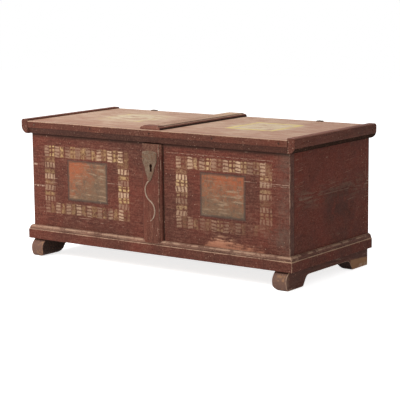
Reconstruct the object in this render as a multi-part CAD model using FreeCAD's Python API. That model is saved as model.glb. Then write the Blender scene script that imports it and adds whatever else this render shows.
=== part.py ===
"""Painted dowry chest: a plank carcass on two runner feet, with a lipped lid, a till and a chest lock.

Millimetres. X runs along the front, Y from front to back and Z up. The origin is on the floor, under the
middle of the whole chest's outline.
"""
import FreeCAD, Part
import math
import os

V = FreeCAD.Vector
X_AXIS = V(1, 0, 0)
Y_AXIS = V(0, 1, 0)
Z_AXIS = V(0, 0, 1)
SIDES = {"left": -1, "right": 1}
SAME_POINT = 1e-4

# Carcass planks
BODY_LENGTH = 1100.0
BODY_DEPTH = 500.0
WALL_HEIGHT = 382.0
BOARD = 25.0
BOTTOM_BOARD = 20.0
FRONT_LOWER_PLANK = 257.0
BACK_LOWER_PLANK = 215.0
END_LOWER_PLANK = 205.0
BOTTOM_FRONT_PLANK = 262.0

# Runner feet, each cut from one plank on edge
FOOT_HEIGHT = 63.0
RUNNER_WIDTH = 54.0
RUNNER_INSET = 2.0
RUNNER_REAR_SETBACK = 2.0
TOE_REACH = 7.0
NOSE_HEIGHT = 32.0
NOSE_LEAN = 22.0
NOSE_ROLL = 15.0
FRONT_FOOT_FLAT = 88.0
REAR_FOOT_FLAT = 96.0
ARCH_HEIGHT = 36.0
ARCH_RUN = 24.0
ARCH_FILLET = 14.0
HEEL_FILLET = 6.0
FOOT_INNER_ROUND = 22.0
FOOT_OUTER_ROUND = 4.0
PEG_SIDE = 11.0
PEG_LENGTH = 45.0
PEG_FROM_ENDS = 45.0

# Base moulding on the front and both ends
BASE = 15.0
BASE_FACE = 35.0
BASE_HEIGHT = 50.0
BASE_QUIRK = 2.5
BASE_TOP_EDGE = 2.0

# Lid planks, front moulding, end cleats and middle batten
LID_BOARD = 25.0
LID_FRONT_PLANK = 268.0
LIP_DROP = 20.0
LIP_GAP = 2.0
LIP = 19.0
LIP_FACE = 24.0
LIP_QUIRK = 2.0
LIP_FOOT = 5.0
LIP_TOP_ROUND = 3.0
CLEAT = 29.0
CLEAT_RISE = 6.0
CLEAT_ROUND = 8.0
CLEAT_FOOT = 3.0
BATTEN = 13.0
BATTEN_WIDTH = 84.0
BATTEN_FLAT = 62.0
BATTEN_STEP = 2.5
BATTEN_EDGE = 4.0
BATTEN_NOSE = 9.0
BATTEN_SETBACK = 5.0

# Pilaster down the middle of the front
PILASTER = 12.0
PILASTER_WIDTH = 84.0
PILASTER_FLAT = 66.0
PILASTER_STEP = 3.0
PILASTER_EDGE = 3.0
PILASTER_LIP_GAP = 4.0
PILASTER_LAP = 11.0

# Keyhole and its iron escutcheon
KEY_DROP = 98.0
KEYHOLE_RADIUS = 6.0
KEYHOLE_SLOT = 8.0
KEYHOLE_TAIL = 20.0
KEYHOLE_EASE = 1.0
ESCUTCHEON = 2.0
ESCUTCHEON_WIDTH = 62.0
ESCUTCHEON_OFFSET = -6.0
ESCUTCHEON_ABOVE_KEY = 46.0
ESCUTCHEON_SHOULDER = 14.0
ESCUTCHEON_WAIST = 36.0
ESCUTCHEON_BELOW_KEY = 50.0
ESCUTCHEON_TIP = 10.0
ESCUTCHEON_CROWN = 5.0
TAIL_HALF_WAVE = 70.0
TAIL_BULGE = 20.0
TAIL_WIDTH = 5.0

# Lock on the inside of the front, and the staple that hangs from the lid
LOCK_PLATE = 2.5
LOCK_PLATE_WIDTH = 132.0
LOCK_PLATE_OFFSET = -10.0
LOCK_ABOVE_KEY = 72.0
LOCK_BELOW_KEY = 40.0
BOLT_LENGTH = 94.0
BOLT_THICKNESS = 10.0
BOLT_HEIGHT = 12.0
BOLT_ABOVE_KEY = 23.0
BOLT_TIP_X = 22.0
BOLT_TALON_WIDTH = 14.0
BOLT_TALON_DEPTH = 4.0
BOLT_TALON_BACK = 30.0
BOLT_EASE = 0.4
KEEPER_LENGTH = 12.0
KEEPER_WALL = 4.0
KEEPER_BACK = (4.0, 60.0)
STAPLE_AHEAD = 6.0
STAPLE_WIDTH = 8.0
STAPLE_BAR = 5.0
STAPLE_EASE = 2.0
STAPLE_SWING_ROOM = 7.0
STAPLE_PLATE = 3.0
STAPLE_PLATE_MARGIN = 14.0
SPRING_THICKNESS = 1.6
SPRING_WIDTH = 8.0
SPRING_LENGTH = 58.0
SPRING_RISE = 14.0
SPRING_FOOT = 8.0

# Hinges behind the back
HINGE_FROM_END = {"left": 171.0, "right": 195.0}
PIN_RADIUS = 3.0
PIN_EASE = 0.05
PIN_HEAD_RADIUS = 4.5
PIN_HEAD = 2.0
KNUCKLE_RADIUS = 6.0
KNUCKLE_BACK_GAP = 0.5
KNUCKLE_END_GAP = 0.4
KNUCKLE_OUTER_LENGTH = 10.0
LEAF = 3.0
LID_LEAF_WIDTH = 22.0
LID_LEAF_WRAP = 12.0
BACK_LEAF_LENGTH = 120.0
BACK_LEAF_POINT = 18.0
BACK_LEAF_HEADROOM = 1.0

# Till at the left end
TILL_WIDTH = 115.0
TILL_DEPTH = 90.0
TILL_BELOW_RIM = 140.0
TILL_BOARD = 12.0
TILL_DADO = 6.0
TILL_LID_BOARD = 12.0
TILL_LID_OVERHANG = 6.0
TILL_LID_EASE = 1.0
PINTLE_RADIUS = 4.0
PINTLE_LENGTH = 9.0
PINTLE_EASE = 0.05

# Wrought nails for wood and tacks for ironwork: side of the head, its height, side of the shank, length
NAIL = {"head": 8.0, "dome": 1.5, "shank": 4.0, "length": 40.0}
TACK = {"head": 6.0, "dome": 1.5, "shank": 2.5, "length": 14.0}
NAIL_FROM_EDGE = 30.0
NAIL_HEAD_SHARE = 0.4
NAIL_PITCH = 260.0
BATTEN_NAIL_PITCH = 150.0
BATTEN_NAIL_LENGTH = 32.0
PILASTER_NAIL_SPREAD = 44.0
PILASTER_NAIL_FROM_END = 14.0
TACK_INSET = 6.0

# Levels, from the floor up
BOTTOM_TOP_Z = FOOT_HEIGHT + BOTTOM_BOARD
RIM_Z = BOTTOM_TOP_Z + WALL_HEIGHT
LID_TOP_Z = RIM_Z + LID_BOARD
LIP_BOTTOM_Z = RIM_Z - LIP_DROP
CLEAT_TOP_Z = LID_TOP_Z + CLEAT_RISE
BASE_TOP_Z = FOOT_HEIGHT + BASE_HEIGHT
KEY_Z = RIM_Z - KEY_DROP
TILL_TOP_Z = RIM_Z - TILL_BELOW_RIM

# The outline's reach past the front and back boards sets where the boards stand in Y
HINGE_BACK_REACH = KNUCKLE_BACK_GAP + KNUCKLE_RADIUS
FRONT_REACH = max(BASE + TOE_REACH, LIP_GAP + LIP + NAIL["dome"])
BACK_REACH = HINGE_BACK_REACH + KNUCKLE_RADIUS
FRONT_Y = (FRONT_REACH - BACK_REACH) / 2 - BODY_DEPTH / 2
BACK_Y = FRONT_Y + BODY_DEPTH
INSIDE_FRONT_Y = FRONT_Y + BOARD
INSIDE_BACK_Y = BACK_Y - BOARD
END_X = BODY_LENGTH / 2
INSIDE_X = END_X - BOARD
LID_END_X = END_X + LIP_GAP
LID_BOARD_FRONT_Y = FRONT_Y - LIP_GAP
LIP_FRONT_Y = LID_BOARD_FRONT_Y - LIP
BASE_FRONT_Y = FRONT_Y - BASE
BASE_END_X = END_X + BASE
HINGE_X = {side: sign * (END_X - HINGE_FROM_END[side]) for side, sign in SIDES.items()}
HINGE_Y = BACK_Y + HINGE_BACK_REACH
PILASTER_FRONT_Y = FRONT_Y - PILASTER
PILASTER_TOP_Z = LIP_BOTTOM_Z - PILASTER_LIP_GAP
PILASTER_FOOT_Z = BASE_TOP_Z - PILASTER_LAP
LOCK_Y = INSIDE_FRONT_Y + LOCK_PLATE
STAPLE_FRONT_Y = LOCK_Y + STAPLE_SWING_ROOM
STAPLE_GAP = BOLT_THICKNESS + 2 * STAPLE_EASE
STAPLE_Y = STAPLE_FRONT_Y + STAPLE_BAR + STAPLE_GAP / 2
STAPLE_X = BOLT_TIP_X + STAPLE_AHEAD
BOLT_Y = STAPLE_Y - BOLT_THICKNESS / 2
BOLT_Z = KEY_Z + BOLT_ABOVE_KEY
TILL_X = -INSIDE_X + TILL_WIDTH
PINTLE_X = -INSIDE_X + TILL_LID_EASE + TILL_LID_BOARD / 2
PINTLE_Z = TILL_TOP_Z + TILL_LID_BOARD / 2


def box(x0, x1, y0, y1, z0, z1):
    """Block between two opposite corners."""
    return Part.makeBox(x1 - x0, y1 - y0, z1 - z0, V(x0, y0, z0))


def rod(start, axis, radius, length):
    """Round bar from a point along an axis."""
    return Part.makeCylinder(radius, length, start, axis)


def fused(shapes):
    """One solid from pieces that overlap or meet."""
    return shapes[0].fuse(shapes[1:]).removeSplitter()


def outline(start, *moves):
    """Closed face: a point is a straight run to it, and a pair is an arc through its first to its second."""
    edges = []
    here = start
    for move in moves:
        if isinstance(move, tuple):
            edges.append(Part.Arc(here, move[0], move[1]).toShape())
            here = move[1]
        else:
            edges.append(Part.LineSegment(here, move).toShape())
            here = move
    if not here.isEqual(start, SAME_POINT):
        edges.append(Part.LineSegment(here, start).toShape())
    return Part.Face(Part.Wire(edges))


def quarter(centre, start, end):
    """Arc through the corner side of a quarter ellipse's middle, from start to end about a centre."""
    middle = centre + (start - centre) * math.sqrt(0.5) + (end - centre) * math.sqrt(0.5)
    return (middle, end)


def mirrored_x(shape):
    """The same piece on the other side of the chest."""
    return shape.mirror(V(0, 0, 0), X_AXIS)


def spread(low, high, pitch):
    """Evenly spaced places from low to high, about a pitch apart."""
    steps = max(1, round((high - low) / pitch))
    return [low + (high - low) * i / steps for i in range(steps + 1)]


def nails(places, size, length=None):
    """Group of wrought nails with faceted heads, from (point on the surface, way it is driven) pairs."""
    depth = length or size["length"]
    half = size["head"] / 2
    crown = half * NAIL_HEAD_SHARE
    shank = size["shank"] / 2
    cap = Part.makeWedge(-half, 0, -half, -crown, -crown, half, size["dome"], half, crown, crown)
    one = cap.fuse(box(-shank, shank, -depth, 0, -shank, shank))
    group = []
    for point, inward in places:
        copy = one.copy()
        copy.Placement = FreeCAD.Placement(point, FreeCAD.Rotation(-Y_AXIS, inward))
        group.append(copy)
    return Part.makeCompound(group)


def keyhole(y0, y1, ease):
    """Keyhole-shaped plug through the front: a round with a slot hanging from it."""
    half = KEYHOLE_SLOT / 2 + ease
    ring = rod(V(0, y0, KEY_Z), Y_AXIS, KEYHOLE_RADIUS + ease, y1 - y0)
    slot = box(-half, half, y0, y1, KEY_Z - KEYHOLE_TAIL - ease, KEY_Z)
    return ring.fuse(slot)


def till_box():
    """Side and bottom of the till, let into the front and back boards."""
    y0 = INSIDE_FRONT_Y - TILL_DADO
    y1 = INSIDE_BACK_Y + TILL_DADO
    low = TILL_TOP_Z - TILL_DEPTH
    side_inner_x = TILL_X - TILL_BOARD
    return {
        "till_side": box(side_inner_x, TILL_X, y0, y1, low, TILL_TOP_Z),
        "till_bottom": box(-INSIDE_X, side_inner_x, y0, y1, low, low + TILL_BOARD),
    }


def till_lid():
    """Till lid, rounded about its hinge line, with a wooden pintle at each end."""
    half = TILL_LID_BOARD / 2
    y0 = INSIDE_FRONT_Y + TILL_LID_EASE
    y1 = INSIDE_BACK_Y - TILL_LID_EASE
    edge_x = TILL_X + TILL_LID_OVERHANG
    section = outline(
        V(PINTLE_X, y0, TILL_TOP_Z),
        V(edge_x, y0, TILL_TOP_Z),
        V(edge_x, y0, TILL_TOP_Z + TILL_LID_BOARD),
        V(PINTLE_X, y0, TILL_TOP_Z + TILL_LID_BOARD),
        (V(PINTLE_X - half, y0, PINTLE_Z), V(PINTLE_X, y0, TILL_TOP_Z)),
    )
    reach = PINTLE_LENGTH + TILL_LID_EASE
    pintles = rod(V(PINTLE_X, y0 - reach, PINTLE_Z), Y_AXIS, PINTLE_RADIUS, y1 - y0 + 2 * reach)
    return fused([section.extrude(V(0, y1 - y0, 0)), pintles])


def pintle_socket():
    """Bar that drills both pintle holes, deeper and wider than the pintles by their clearances."""
    reach = PINTLE_LENGTH + TILL_LID_EASE
    y0 = INSIDE_FRONT_Y - reach
    y1 = INSIDE_BACK_Y + reach
    return rod(V(PINTLE_X, y0, PINTLE_Z), Y_AXIS, PINTLE_RADIUS + PINTLE_EASE, y1 - y0)


def carcass():
    """Front, back, end and bottom planks, with the front and back lapping over the ends."""
    front_joint = BOTTOM_TOP_Z + FRONT_LOWER_PLANK
    back_joint = BOTTOM_TOP_Z + BACK_LOWER_PLANK
    end_joint = BOTTOM_TOP_Z + END_LOWER_PLANK
    bottom_joint = FRONT_Y + BOTTOM_FRONT_PLANK
    planks = {
        "front_lower_board": box(-END_X, END_X, FRONT_Y, INSIDE_FRONT_Y, BOTTOM_TOP_Z, front_joint),
        "front_upper_board": box(-END_X, END_X, FRONT_Y, INSIDE_FRONT_Y, front_joint, RIM_Z),
        "back_lower_board": box(-END_X, END_X, INSIDE_BACK_Y, BACK_Y, BOTTOM_TOP_Z, back_joint),
        "back_upper_board": box(-END_X, END_X, INSIDE_BACK_Y, BACK_Y, back_joint, RIM_Z),
        "bottom_front_board": box(-END_X, END_X, FRONT_Y, bottom_joint, FOOT_HEIGHT, BOTTOM_TOP_Z),
        "bottom_back_board": box(-END_X, END_X, bottom_joint, BACK_Y, FOOT_HEIGHT, BOTTOM_TOP_Z),
    }
    sockets = fused(list(till_box().values()) + [pintle_socket()])
    key_way = keyhole(FRONT_Y, INSIDE_FRONT_Y, KEYHOLE_EASE)
    for name in planks:
        if name.startswith(("front", "back")):
            planks[name] = planks[name].cut(sockets)
        if name.startswith("front"):
            planks[name] = planks[name].cut(key_way)
    for side, sign in SIDES.items():
        x0, x1 = sorted((sign * INSIDE_X, sign * END_X))
        planks[side + "_end_lower_board"] = box(x0, x1, INSIDE_FRONT_Y, INSIDE_BACK_Y, BOTTOM_TOP_Z, end_joint)
        planks[side + "_end_upper_board"] = box(x0, x1, INSIDE_FRONT_Y, INSIDE_BACK_Y, end_joint, RIM_Z)
    return planks


def edges_along_x(shape, places):
    """Straight edges along X that pass through the given (y, z) places."""
    found = []
    for edge in shape.Edges:
        ends = [v.Point for v in edge.Vertexes]
        if len(ends) != 2 or abs(ends[0].y - ends[1].y) > SAME_POINT or abs(ends[0].z - ends[1].z) > SAME_POINT:
            continue
        if any(abs(ends[0].y - y) < SAME_POINT and abs(ends[0].z - z) < SAME_POINT for y, z in places):
            found.append(edge)
    return found


def runner():
    """Right runner foot: a rolled nose, an arch between two feet and a worn round along its inner bottom edge."""
    outer_x = END_X - RUNNER_INSET
    inner_x = outer_x - RUNNER_WIDTH
    toe = BASE_FRONT_Y - TOE_REACH
    rear = BACK_Y - RUNNER_REAR_SETBACK
    front_heel = toe + NOSE_ROLL + FRONT_FOOT_FLAT
    rear_heel = rear - HEEL_FILLET - REAR_FOOT_FLAT
    arch = [(front_heel + ARCH_RUN, ARCH_HEIGHT), (rear_heel - ARCH_RUN, ARCH_HEIGHT)]
    heels = [(front_heel, 0.0), (rear_heel, 0.0), (rear, 0.0)]
    roll = NOSE_ROLL * (1 - math.sqrt(0.5))
    side = outline(
        V(inner_x, toe + NOSE_ROLL, 0),
        V(inner_x, front_heel, 0),
        V(inner_x, *arch[0]),
        V(inner_x, *arch[1]),
        V(inner_x, rear_heel, 0),
        V(inner_x, rear, 0),
        V(inner_x, rear, FOOT_HEIGHT),
        V(inner_x, toe + NOSE_LEAN, FOOT_HEIGHT),
        (V(inner_x, toe + NOSE_LEAN / 4, (NOSE_HEIGHT + FOOT_HEIGHT) / 2), V(inner_x, toe, NOSE_HEIGHT)),
        (V(inner_x, toe + roll, NOSE_HEIGHT * (1 - math.sqrt(0.5))), V(inner_x, toe + NOSE_ROLL, 0)),
    )
    plank = side.extrude(V(RUNNER_WIDTH, 0, 0))
    plank = plank.makeFillet(ARCH_FILLET, edges_along_x(plank, arch))
    plank = plank.makeFillet(HEEL_FILLET, edges_along_x(plank, heels))
    inner_centre = V(inner_x + FOOT_INNER_ROUND, toe, FOOT_INNER_ROUND)
    outer_centre = V(outer_x - FOOT_OUTER_ROUND, toe, FOOT_OUTER_ROUND)
    end_view = outline(
        V(inner_x, toe, FOOT_HEIGHT),
        V(inner_x, toe, FOOT_INNER_ROUND),
        quarter(inner_centre, V(inner_x, toe, FOOT_INNER_ROUND), V(inner_x + FOOT_INNER_ROUND, toe, 0)),
        V(outer_x - FOOT_OUTER_ROUND, toe, 0),
        quarter(outer_centre, V(outer_x - FOOT_OUTER_ROUND, toe, 0), V(outer_x, toe, FOOT_OUTER_ROUND)),
        V(outer_x, toe, FOOT_HEIGHT),
    )
    return plank.common(end_view.extrude(V(0, rear - toe, 0)))


def runner_pegs():
    """Square wooden pegs driven down through the bottom boards into the thick of each foot."""
    runner_x = END_X - RUNNER_INSET - RUNNER_WIDTH / 2
    half = PEG_SIDE / 2
    pegs = []
    for x in (-runner_x, runner_x):
        for y in (FRONT_Y + PEG_FROM_ENDS, BACK_Y - PEG_FROM_ENDS):
            pegs.append(box(x - half, x + half, y - half, y + half, BOTTOM_TOP_Z - PEG_LENGTH, BOTTOM_TOP_Z))
    return Part.makeCompound(pegs)


def base_profile(face, out, along):
    """Base moulding's section on a wall: a flat face, a small quirk and a quarter round up to the wall."""
    def at(reach, z):
        return face + out * reach + V(0, 0, z)
    shoulder = BASE - BASE_QUIRK
    break_z = FOOT_HEIGHT + BASE_FACE
    centre = at(BASE_TOP_EDGE, break_z)
    section = outline(
        at(0, FOOT_HEIGHT),
        at(BASE, FOOT_HEIGHT),
        at(BASE, break_z),
        at(shoulder, break_z),
        quarter(centre, at(shoulder, break_z), at(BASE_TOP_EDGE, BASE_TOP_Z)),
        at(0, BASE_TOP_Z),
    )
    return section.extrude(along)


def base_mouldings():
    """Mouldings on the front and both ends, mitred at the front corners."""
    height = V(0, 0, BASE_TOP_Z)
    front = base_profile(V(-BASE_END_X, FRONT_Y, 0), -Y_AXIS, X_AXIS * 2 * BASE_END_X)
    front_plan = outline(
        V(-END_X, FRONT_Y, 0),
        V(-BASE_END_X, BASE_FRONT_Y, 0),
        V(BASE_END_X, BASE_FRONT_Y, 0),
        V(END_X, FRONT_Y, 0),
    )
    end = base_profile(V(END_X, BASE_FRONT_Y, 0), X_AXIS, Y_AXIS * (BACK_Y - BASE_FRONT_Y))
    end_plan = outline(
        V(END_X, FRONT_Y, 0),
        V(BASE_END_X, BASE_FRONT_Y, 0),
        V(BASE_END_X, BACK_Y, 0),
        V(END_X, BACK_Y, 0),
    )
    right = end.common(end_plan.extrude(height))
    return {
        "base_moulding_front": front.common(front_plan.extrude(height)),
        "base_moulding_right": right,
        "base_moulding_left": mirrored_x(right),
    }


def moulded_strip(width, flat, thickness, step, edge, place):
    """Section of a moulded strip: a flat middle, a step each side and a quarter round down to thin edges.

    place turns a (across, height) pair into a point.
    """
    side = width / 2
    middle = flat / 2
    high = thickness - step
    right = quarter(place(middle, edge), place(middle, high), place(side, edge))
    left = quarter(place(-middle, edge), place(-side, edge), place(-middle, high))
    return outline(
        place(-side, 0),
        place(-side, edge),
        left,
        place(-middle, thickness),
        place(middle, thickness),
        place(middle, high),
        right,
        place(side, 0),
    )


def pilaster(base_front):
    """Moulded strip down the front, scribed at its foot over the base moulding, with the keyhole through it."""
    def place(across, out):
        return V(across, FRONT_Y - out, PILASTER_FOOT_Z)
    section = moulded_strip(
        PILASTER_WIDTH, PILASTER_FLAT, PILASTER, PILASTER_STEP, PILASTER_EDGE, place)
    strip = section.extrude(V(0, 0, PILASTER_TOP_Z - PILASTER_FOOT_Z))
    return strip.cut(base_front).cut(keyhole(PILASTER_FRONT_Y, FRONT_Y, KEYHOLE_EASE))


def tail_bend(centre_x, centre_z, radius, turn, sign):
    """One half wave of the escutcheon's tail: a flat band along an arc, bulging to one side."""
    half = TAIL_WIDTH / 2
    y = PILASTER_FRONT_Y

    def at(r, angle):
        return V(centre_x + sign * r * math.cos(angle), y, centre_z + r * math.sin(angle))
    inner, outer = radius - half, radius + half
    band = outline(
        at(inner, turn),
        at(outer, turn),
        (at(outer, 0), at(outer, -turn)),
        at(inner, -turn),
        (at(inner, 0), at(inner, turn)),
    )
    return band.extrude(V(0, -ESCUTCHEON, 0))


def escutcheon():
    """Shield-shaped iron plate round the keyhole, drawn out below into an S-shaped tail."""
    x = ESCUTCHEON_OFFSET
    y = PILASTER_FRONT_Y
    half = ESCUTCHEON_WIDTH / 2
    waist = ESCUTCHEON_WAIST / 2
    tip = ESCUTCHEON_TIP / 2
    top = KEY_Z + ESCUTCHEON_ABOVE_KEY
    shoulder = KEY_Z + ESCUTCHEON_SHOULDER
    low = KEY_Z - ESCUTCHEON_BELOW_KEY
    hollow_z = (shoulder + KEY_Z - KEYHOLE_TAIL) / 2

    def at(across, z):
        return V(x + across, y, z)
    shield = outline(
        at(-half, top),
        (at(0, top + ESCUTCHEON_CROWN), at(half, top)),
        at(half, shoulder),
        (at((half + waist) / 2 - ESCUTCHEON_CROWN / 2, hollow_z), at(waist, KEY_Z - KEYHOLE_TAIL)),
        at(tip, low),
        at(-tip, low),
        at(-waist, KEY_Z - KEYHOLE_TAIL),
        (at(-(half + waist) / 2 + ESCUTCHEON_CROWN / 2, hollow_z), at(-half, shoulder)),
    ).extrude(V(0, -ESCUTCHEON, 0))
    rise = TAIL_HALF_WAVE / 2
    radius = (rise ** 2 + TAIL_BULGE ** 2) / (2 * TAIL_BULGE)
    turn = math.asin(rise / radius)
    offset = radius - TAIL_BULGE
    upper = tail_bend(x + offset, low - rise, radius, turn, -1)
    lower = tail_bend(x - offset, low - rise - TAIL_HALF_WAVE, radius, turn, 1)
    plate = fused([shield, upper, lower])
    return plate.cut(keyhole(y - ESCUTCHEON, y, 0))


def lid_planks():
    """Two lid boards that rest on the rim."""
    joint = LID_BOARD_FRONT_Y + LID_FRONT_PLANK
    return {
        "lid_front_board": box(-LID_END_X, LID_END_X, LID_BOARD_FRONT_Y, joint, RIM_Z, LID_TOP_Z),
        "lid_back_board": box(-LID_END_X, LID_END_X, joint, BACK_Y, RIM_Z, LID_TOP_Z),
    }


def lid_front_moulding():
    """Front moulding between the cleats: a flat face over a bevel that hangs past the rim as a lip."""
    x = -LID_END_X
    face_z = LID_TOP_Z - LIP_FACE
    round_centre = V(x, LIP_FRONT_Y + LIP_TOP_ROUND, LID_TOP_Z - LIP_TOP_ROUND)
    section = outline(
        V(x, LID_BOARD_FRONT_Y, LIP_BOTTOM_Z),
        V(x, LID_BOARD_FRONT_Y, LID_TOP_Z),
        V(x, LIP_FRONT_Y + LIP_TOP_ROUND, LID_TOP_Z),
        quarter(
            round_centre,
            V(x, LIP_FRONT_Y + LIP_TOP_ROUND, LID_TOP_Z),
            V(x, LIP_FRONT_Y, LID_TOP_Z - LIP_TOP_ROUND)),
        V(x, LIP_FRONT_Y, face_z),
        V(x, LIP_FRONT_Y + LIP_QUIRK, face_z),
        V(x, LID_BOARD_FRONT_Y - LIP_FOOT, LIP_BOTTOM_Z),
    )
    return section.extrude(V(2 * LID_END_X, 0, 0))


def lid_cleat():
    """Right end cleat: rounded over at its top, with a full quarter round below, running the lid's whole depth."""
    y = LIP_FRONT_Y
    outer = LID_END_X + CLEAT
    sweep = CLEAT - CLEAT_FOOT
    foot = LID_END_X + CLEAT_FOOT
    top_centre = V(outer - CLEAT_ROUND, y, CLEAT_TOP_Z - CLEAT_ROUND)
    low_centre = V(foot, y, LIP_BOTTOM_Z + sweep)
    section = outline(
        V(LID_END_X, y, LIP_BOTTOM_Z),
        V(LID_END_X, y, CLEAT_TOP_Z),
        V(outer - CLEAT_ROUND, y, CLEAT_TOP_Z),
        quarter(top_centre, V(outer - CLEAT_ROUND, y, CLEAT_TOP_Z), V(outer, y, CLEAT_TOP_Z - CLEAT_ROUND)),
        V(outer, y, LIP_BOTTOM_Z + sweep),
        quarter(low_centre, V(outer, y, LIP_BOTTOM_Z + sweep), V(foot, y, LIP_BOTTOM_Z)),
    )
    return section.extrude(V(0, BACK_Y - y, 0))


def lid_batten():
    """Moulded batten across the middle of the lid, with a rolled nose at each end."""
    front = LIP_FRONT_Y + BATTEN_SETBACK
    top = LID_TOP_Z + BATTEN
    half = BATTEN_WIDTH / 2

    def place(across, up):
        return V(across, front, LID_TOP_Z + up)
    section = moulded_strip(BATTEN_WIDTH, BATTEN_FLAT, BATTEN, BATTEN_STEP, BATTEN_EDGE, place)
    strip = section.extrude(V(0, BACK_Y - front, 0))
    front_centre = V(-half, front + BATTEN_NOSE, top - BATTEN_NOSE)
    back_centre = V(-half, BACK_Y - BATTEN_NOSE, top - BATTEN_NOSE)
    side = outline(
        V(-half, front, LID_TOP_Z),
        V(-half, front, top - BATTEN_NOSE),
        quarter(front_centre, V(-half, front, top - BATTEN_NOSE), V(-half, front + BATTEN_NOSE, top)),
        V(-half, BACK_Y - BATTEN_NOSE, top),
        quarter(back_centre, V(-half, BACK_Y - BATTEN_NOSE, top), V(-half, BACK_Y, top - BATTEN_NOSE)),
        V(-half, BACK_Y, LID_TOP_Z),
    )
    return strip.common(side.extrude(V(BATTEN_WIDTH, 0, 0)))


def knuckle(x0, x1):
    """Solid hinge knuckle about the pin's axis, before it is bored."""
    return rod(V(x0, HINGE_Y, RIM_Z), X_AXIS, KNUCKLE_RADIUS, x1 - x0)


def pin_bore(x, half):
    """Bore for the hinge pin, with its running clearance."""
    return rod(V(x - half, HINGE_Y, RIM_Z), X_AXIS, PIN_RADIUS + PIN_EASE, 2 * half)


def hinge(x):
    """One hinge: a leaf over the lid's back edge, a pointed leaf down the back, and a riveted pin."""
    middle = LID_LEAF_WIDTH / 2
    inner = middle + KNUCKLE_END_GAP
    outer = inner + KNUCKLE_OUTER_LENGTH
    strap_y = BACK_Y + LEAF
    plate_top = RIM_Z - KNUCKLE_RADIUS - BACK_LEAF_HEADROOM
    plate_low = RIM_Z - BACK_LEAF_LENGTH
    lid_leaf = fused([
        box(x - middle, x + middle, BACK_Y, strap_y, RIM_Z, LID_TOP_Z + LEAF),
        box(x - middle, x + middle, BACK_Y - LID_LEAF_WRAP, strap_y, LID_TOP_Z, LID_TOP_Z + LEAF),
        knuckle(x - middle, x + middle),
    ]).cut(pin_bore(x, outer))
    plate = outline(
        V(x - outer, BACK_Y, plate_top),
        V(x + outer, BACK_Y, plate_top),
        V(x + outer, BACK_Y, plate_low + BACK_LEAF_POINT),
        V(x, BACK_Y, plate_low),
        V(x - outer, BACK_Y, plate_low + BACK_LEAF_POINT),
    ).extrude(V(0, LEAF, 0))
    ears = [plate]
    for x0, x1 in ((x - outer, x - inner), (x + inner, x + outer)):
        ears += [box(x0, x1, BACK_Y, strap_y, plate_top, RIM_Z), knuckle(x0, x1)]
    back_leaf = fused(ears).cut(pin_bore(x, outer))
    start = V(x - outer, HINGE_Y, RIM_Z)
    pin = fused([
        rod(start, X_AXIS, PIN_RADIUS, 2 * outer),
        rod(start - V(PIN_HEAD, 0, 0), X_AXIS, PIN_HEAD_RADIUS, PIN_HEAD),
        rod(start + V(2 * outer, 0, 0), X_AXIS, PIN_HEAD_RADIUS, PIN_HEAD),
    ])
    return {"lid_leaf": lid_leaf, "back_leaf": back_leaf, "pin": pin}


def lock_keeper_spans():
    """X spans of the two keepers, measured back from the bolt's resting tip."""
    return [(BOLT_TIP_X - back - KEEPER_LENGTH, BOLT_TIP_X - back) for back in KEEPER_BACK]


def lock():
    """Lock plate with its keyhole, two keepers that guide the bolt, the bolt, and the spring that rubs on it."""
    middle = LOCK_PLATE_OFFSET
    half = LOCK_PLATE_WIDTH / 2
    plate = box(middle - half, middle + half, INSIDE_FRONT_Y, LOCK_Y, KEY_Z - LOCK_BELOW_KEY, KEY_Z + LOCK_ABOVE_KEY)
    bolt_back = BOLT_TIP_X - BOLT_LENGTH
    bolt_top = BOLT_Z + BOLT_HEIGHT
    bolt = box(bolt_back, BOLT_TIP_X, BOLT_Y, BOLT_Y + BOLT_THICKNESS, BOLT_Z, bolt_top)
    talon_x = BOLT_TIP_X - BOLT_TALON_BACK
    talon = box(
        talon_x - BOLT_TALON_WIDTH, talon_x, BOLT_Y, BOLT_Y + BOLT_THICKNESS, BOLT_Z, BOLT_Z + BOLT_TALON_DEPTH)
    wall = BOLT_EASE + KEEPER_WALL
    keepers = []
    for x0, x1 in lock_keeper_spans():
        block = box(x0, x1, LOCK_Y, BOLT_Y + BOLT_THICKNESS + wall, BOLT_Z - wall, bolt_top + wall)
        passage = box(
            x0, x1, BOLT_Y - BOLT_EASE, BOLT_Y + BOLT_THICKNESS + BOLT_EASE,
            BOLT_Z - BOLT_EASE, bolt_top + BOLT_EASE)
        keepers.append(block.cut(passage))
    return {
        "lock_plate": plate.cut(keyhole(INSIDE_FRONT_Y, LOCK_Y, 0)),
        "lock_bolt": bolt.cut(talon),
        "lock_keepers": Part.makeCompound(keepers),
        "lock_spring": lock_spring(bolt_top + BOLT_EASE),
    }


def lock_spring(touch_z):
    """Leaf spring on the lock plate, bowed down so that its free end rubs along the bolt's top."""
    tip_x = lock_keeper_spans()[0][0] - KEEPER_WALL
    root_x = tip_x - SPRING_LENGTH
    y = BOLT_Y + (BOLT_THICKNESS - SPRING_WIDTH) / 2
    root_z = touch_z + SPRING_RISE

    def bow(lift):
        return (V(root_x, y, root_z + lift), V((root_x + tip_x) / 2, y, touch_z + SPRING_RISE / 3 + lift),
                V(tip_x, y, touch_z + lift))
    low = bow(0)
    high = bow(SPRING_THICKNESS)
    leaf = outline(low[0], (low[1], low[2]), high[2], (high[1], high[0])).extrude(V(0, SPRING_WIDTH, 0))
    foot = box(root_x - SPRING_FOOT, root_x, LOCK_Y, y + SPRING_WIDTH, root_z, root_z + SPRING_FOOT)
    return fused([leaf, foot, box(root_x - SPRING_FOOT, root_x, y, y + SPRING_WIDTH, root_z, root_z + SPRING_THICKNESS)])


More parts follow.
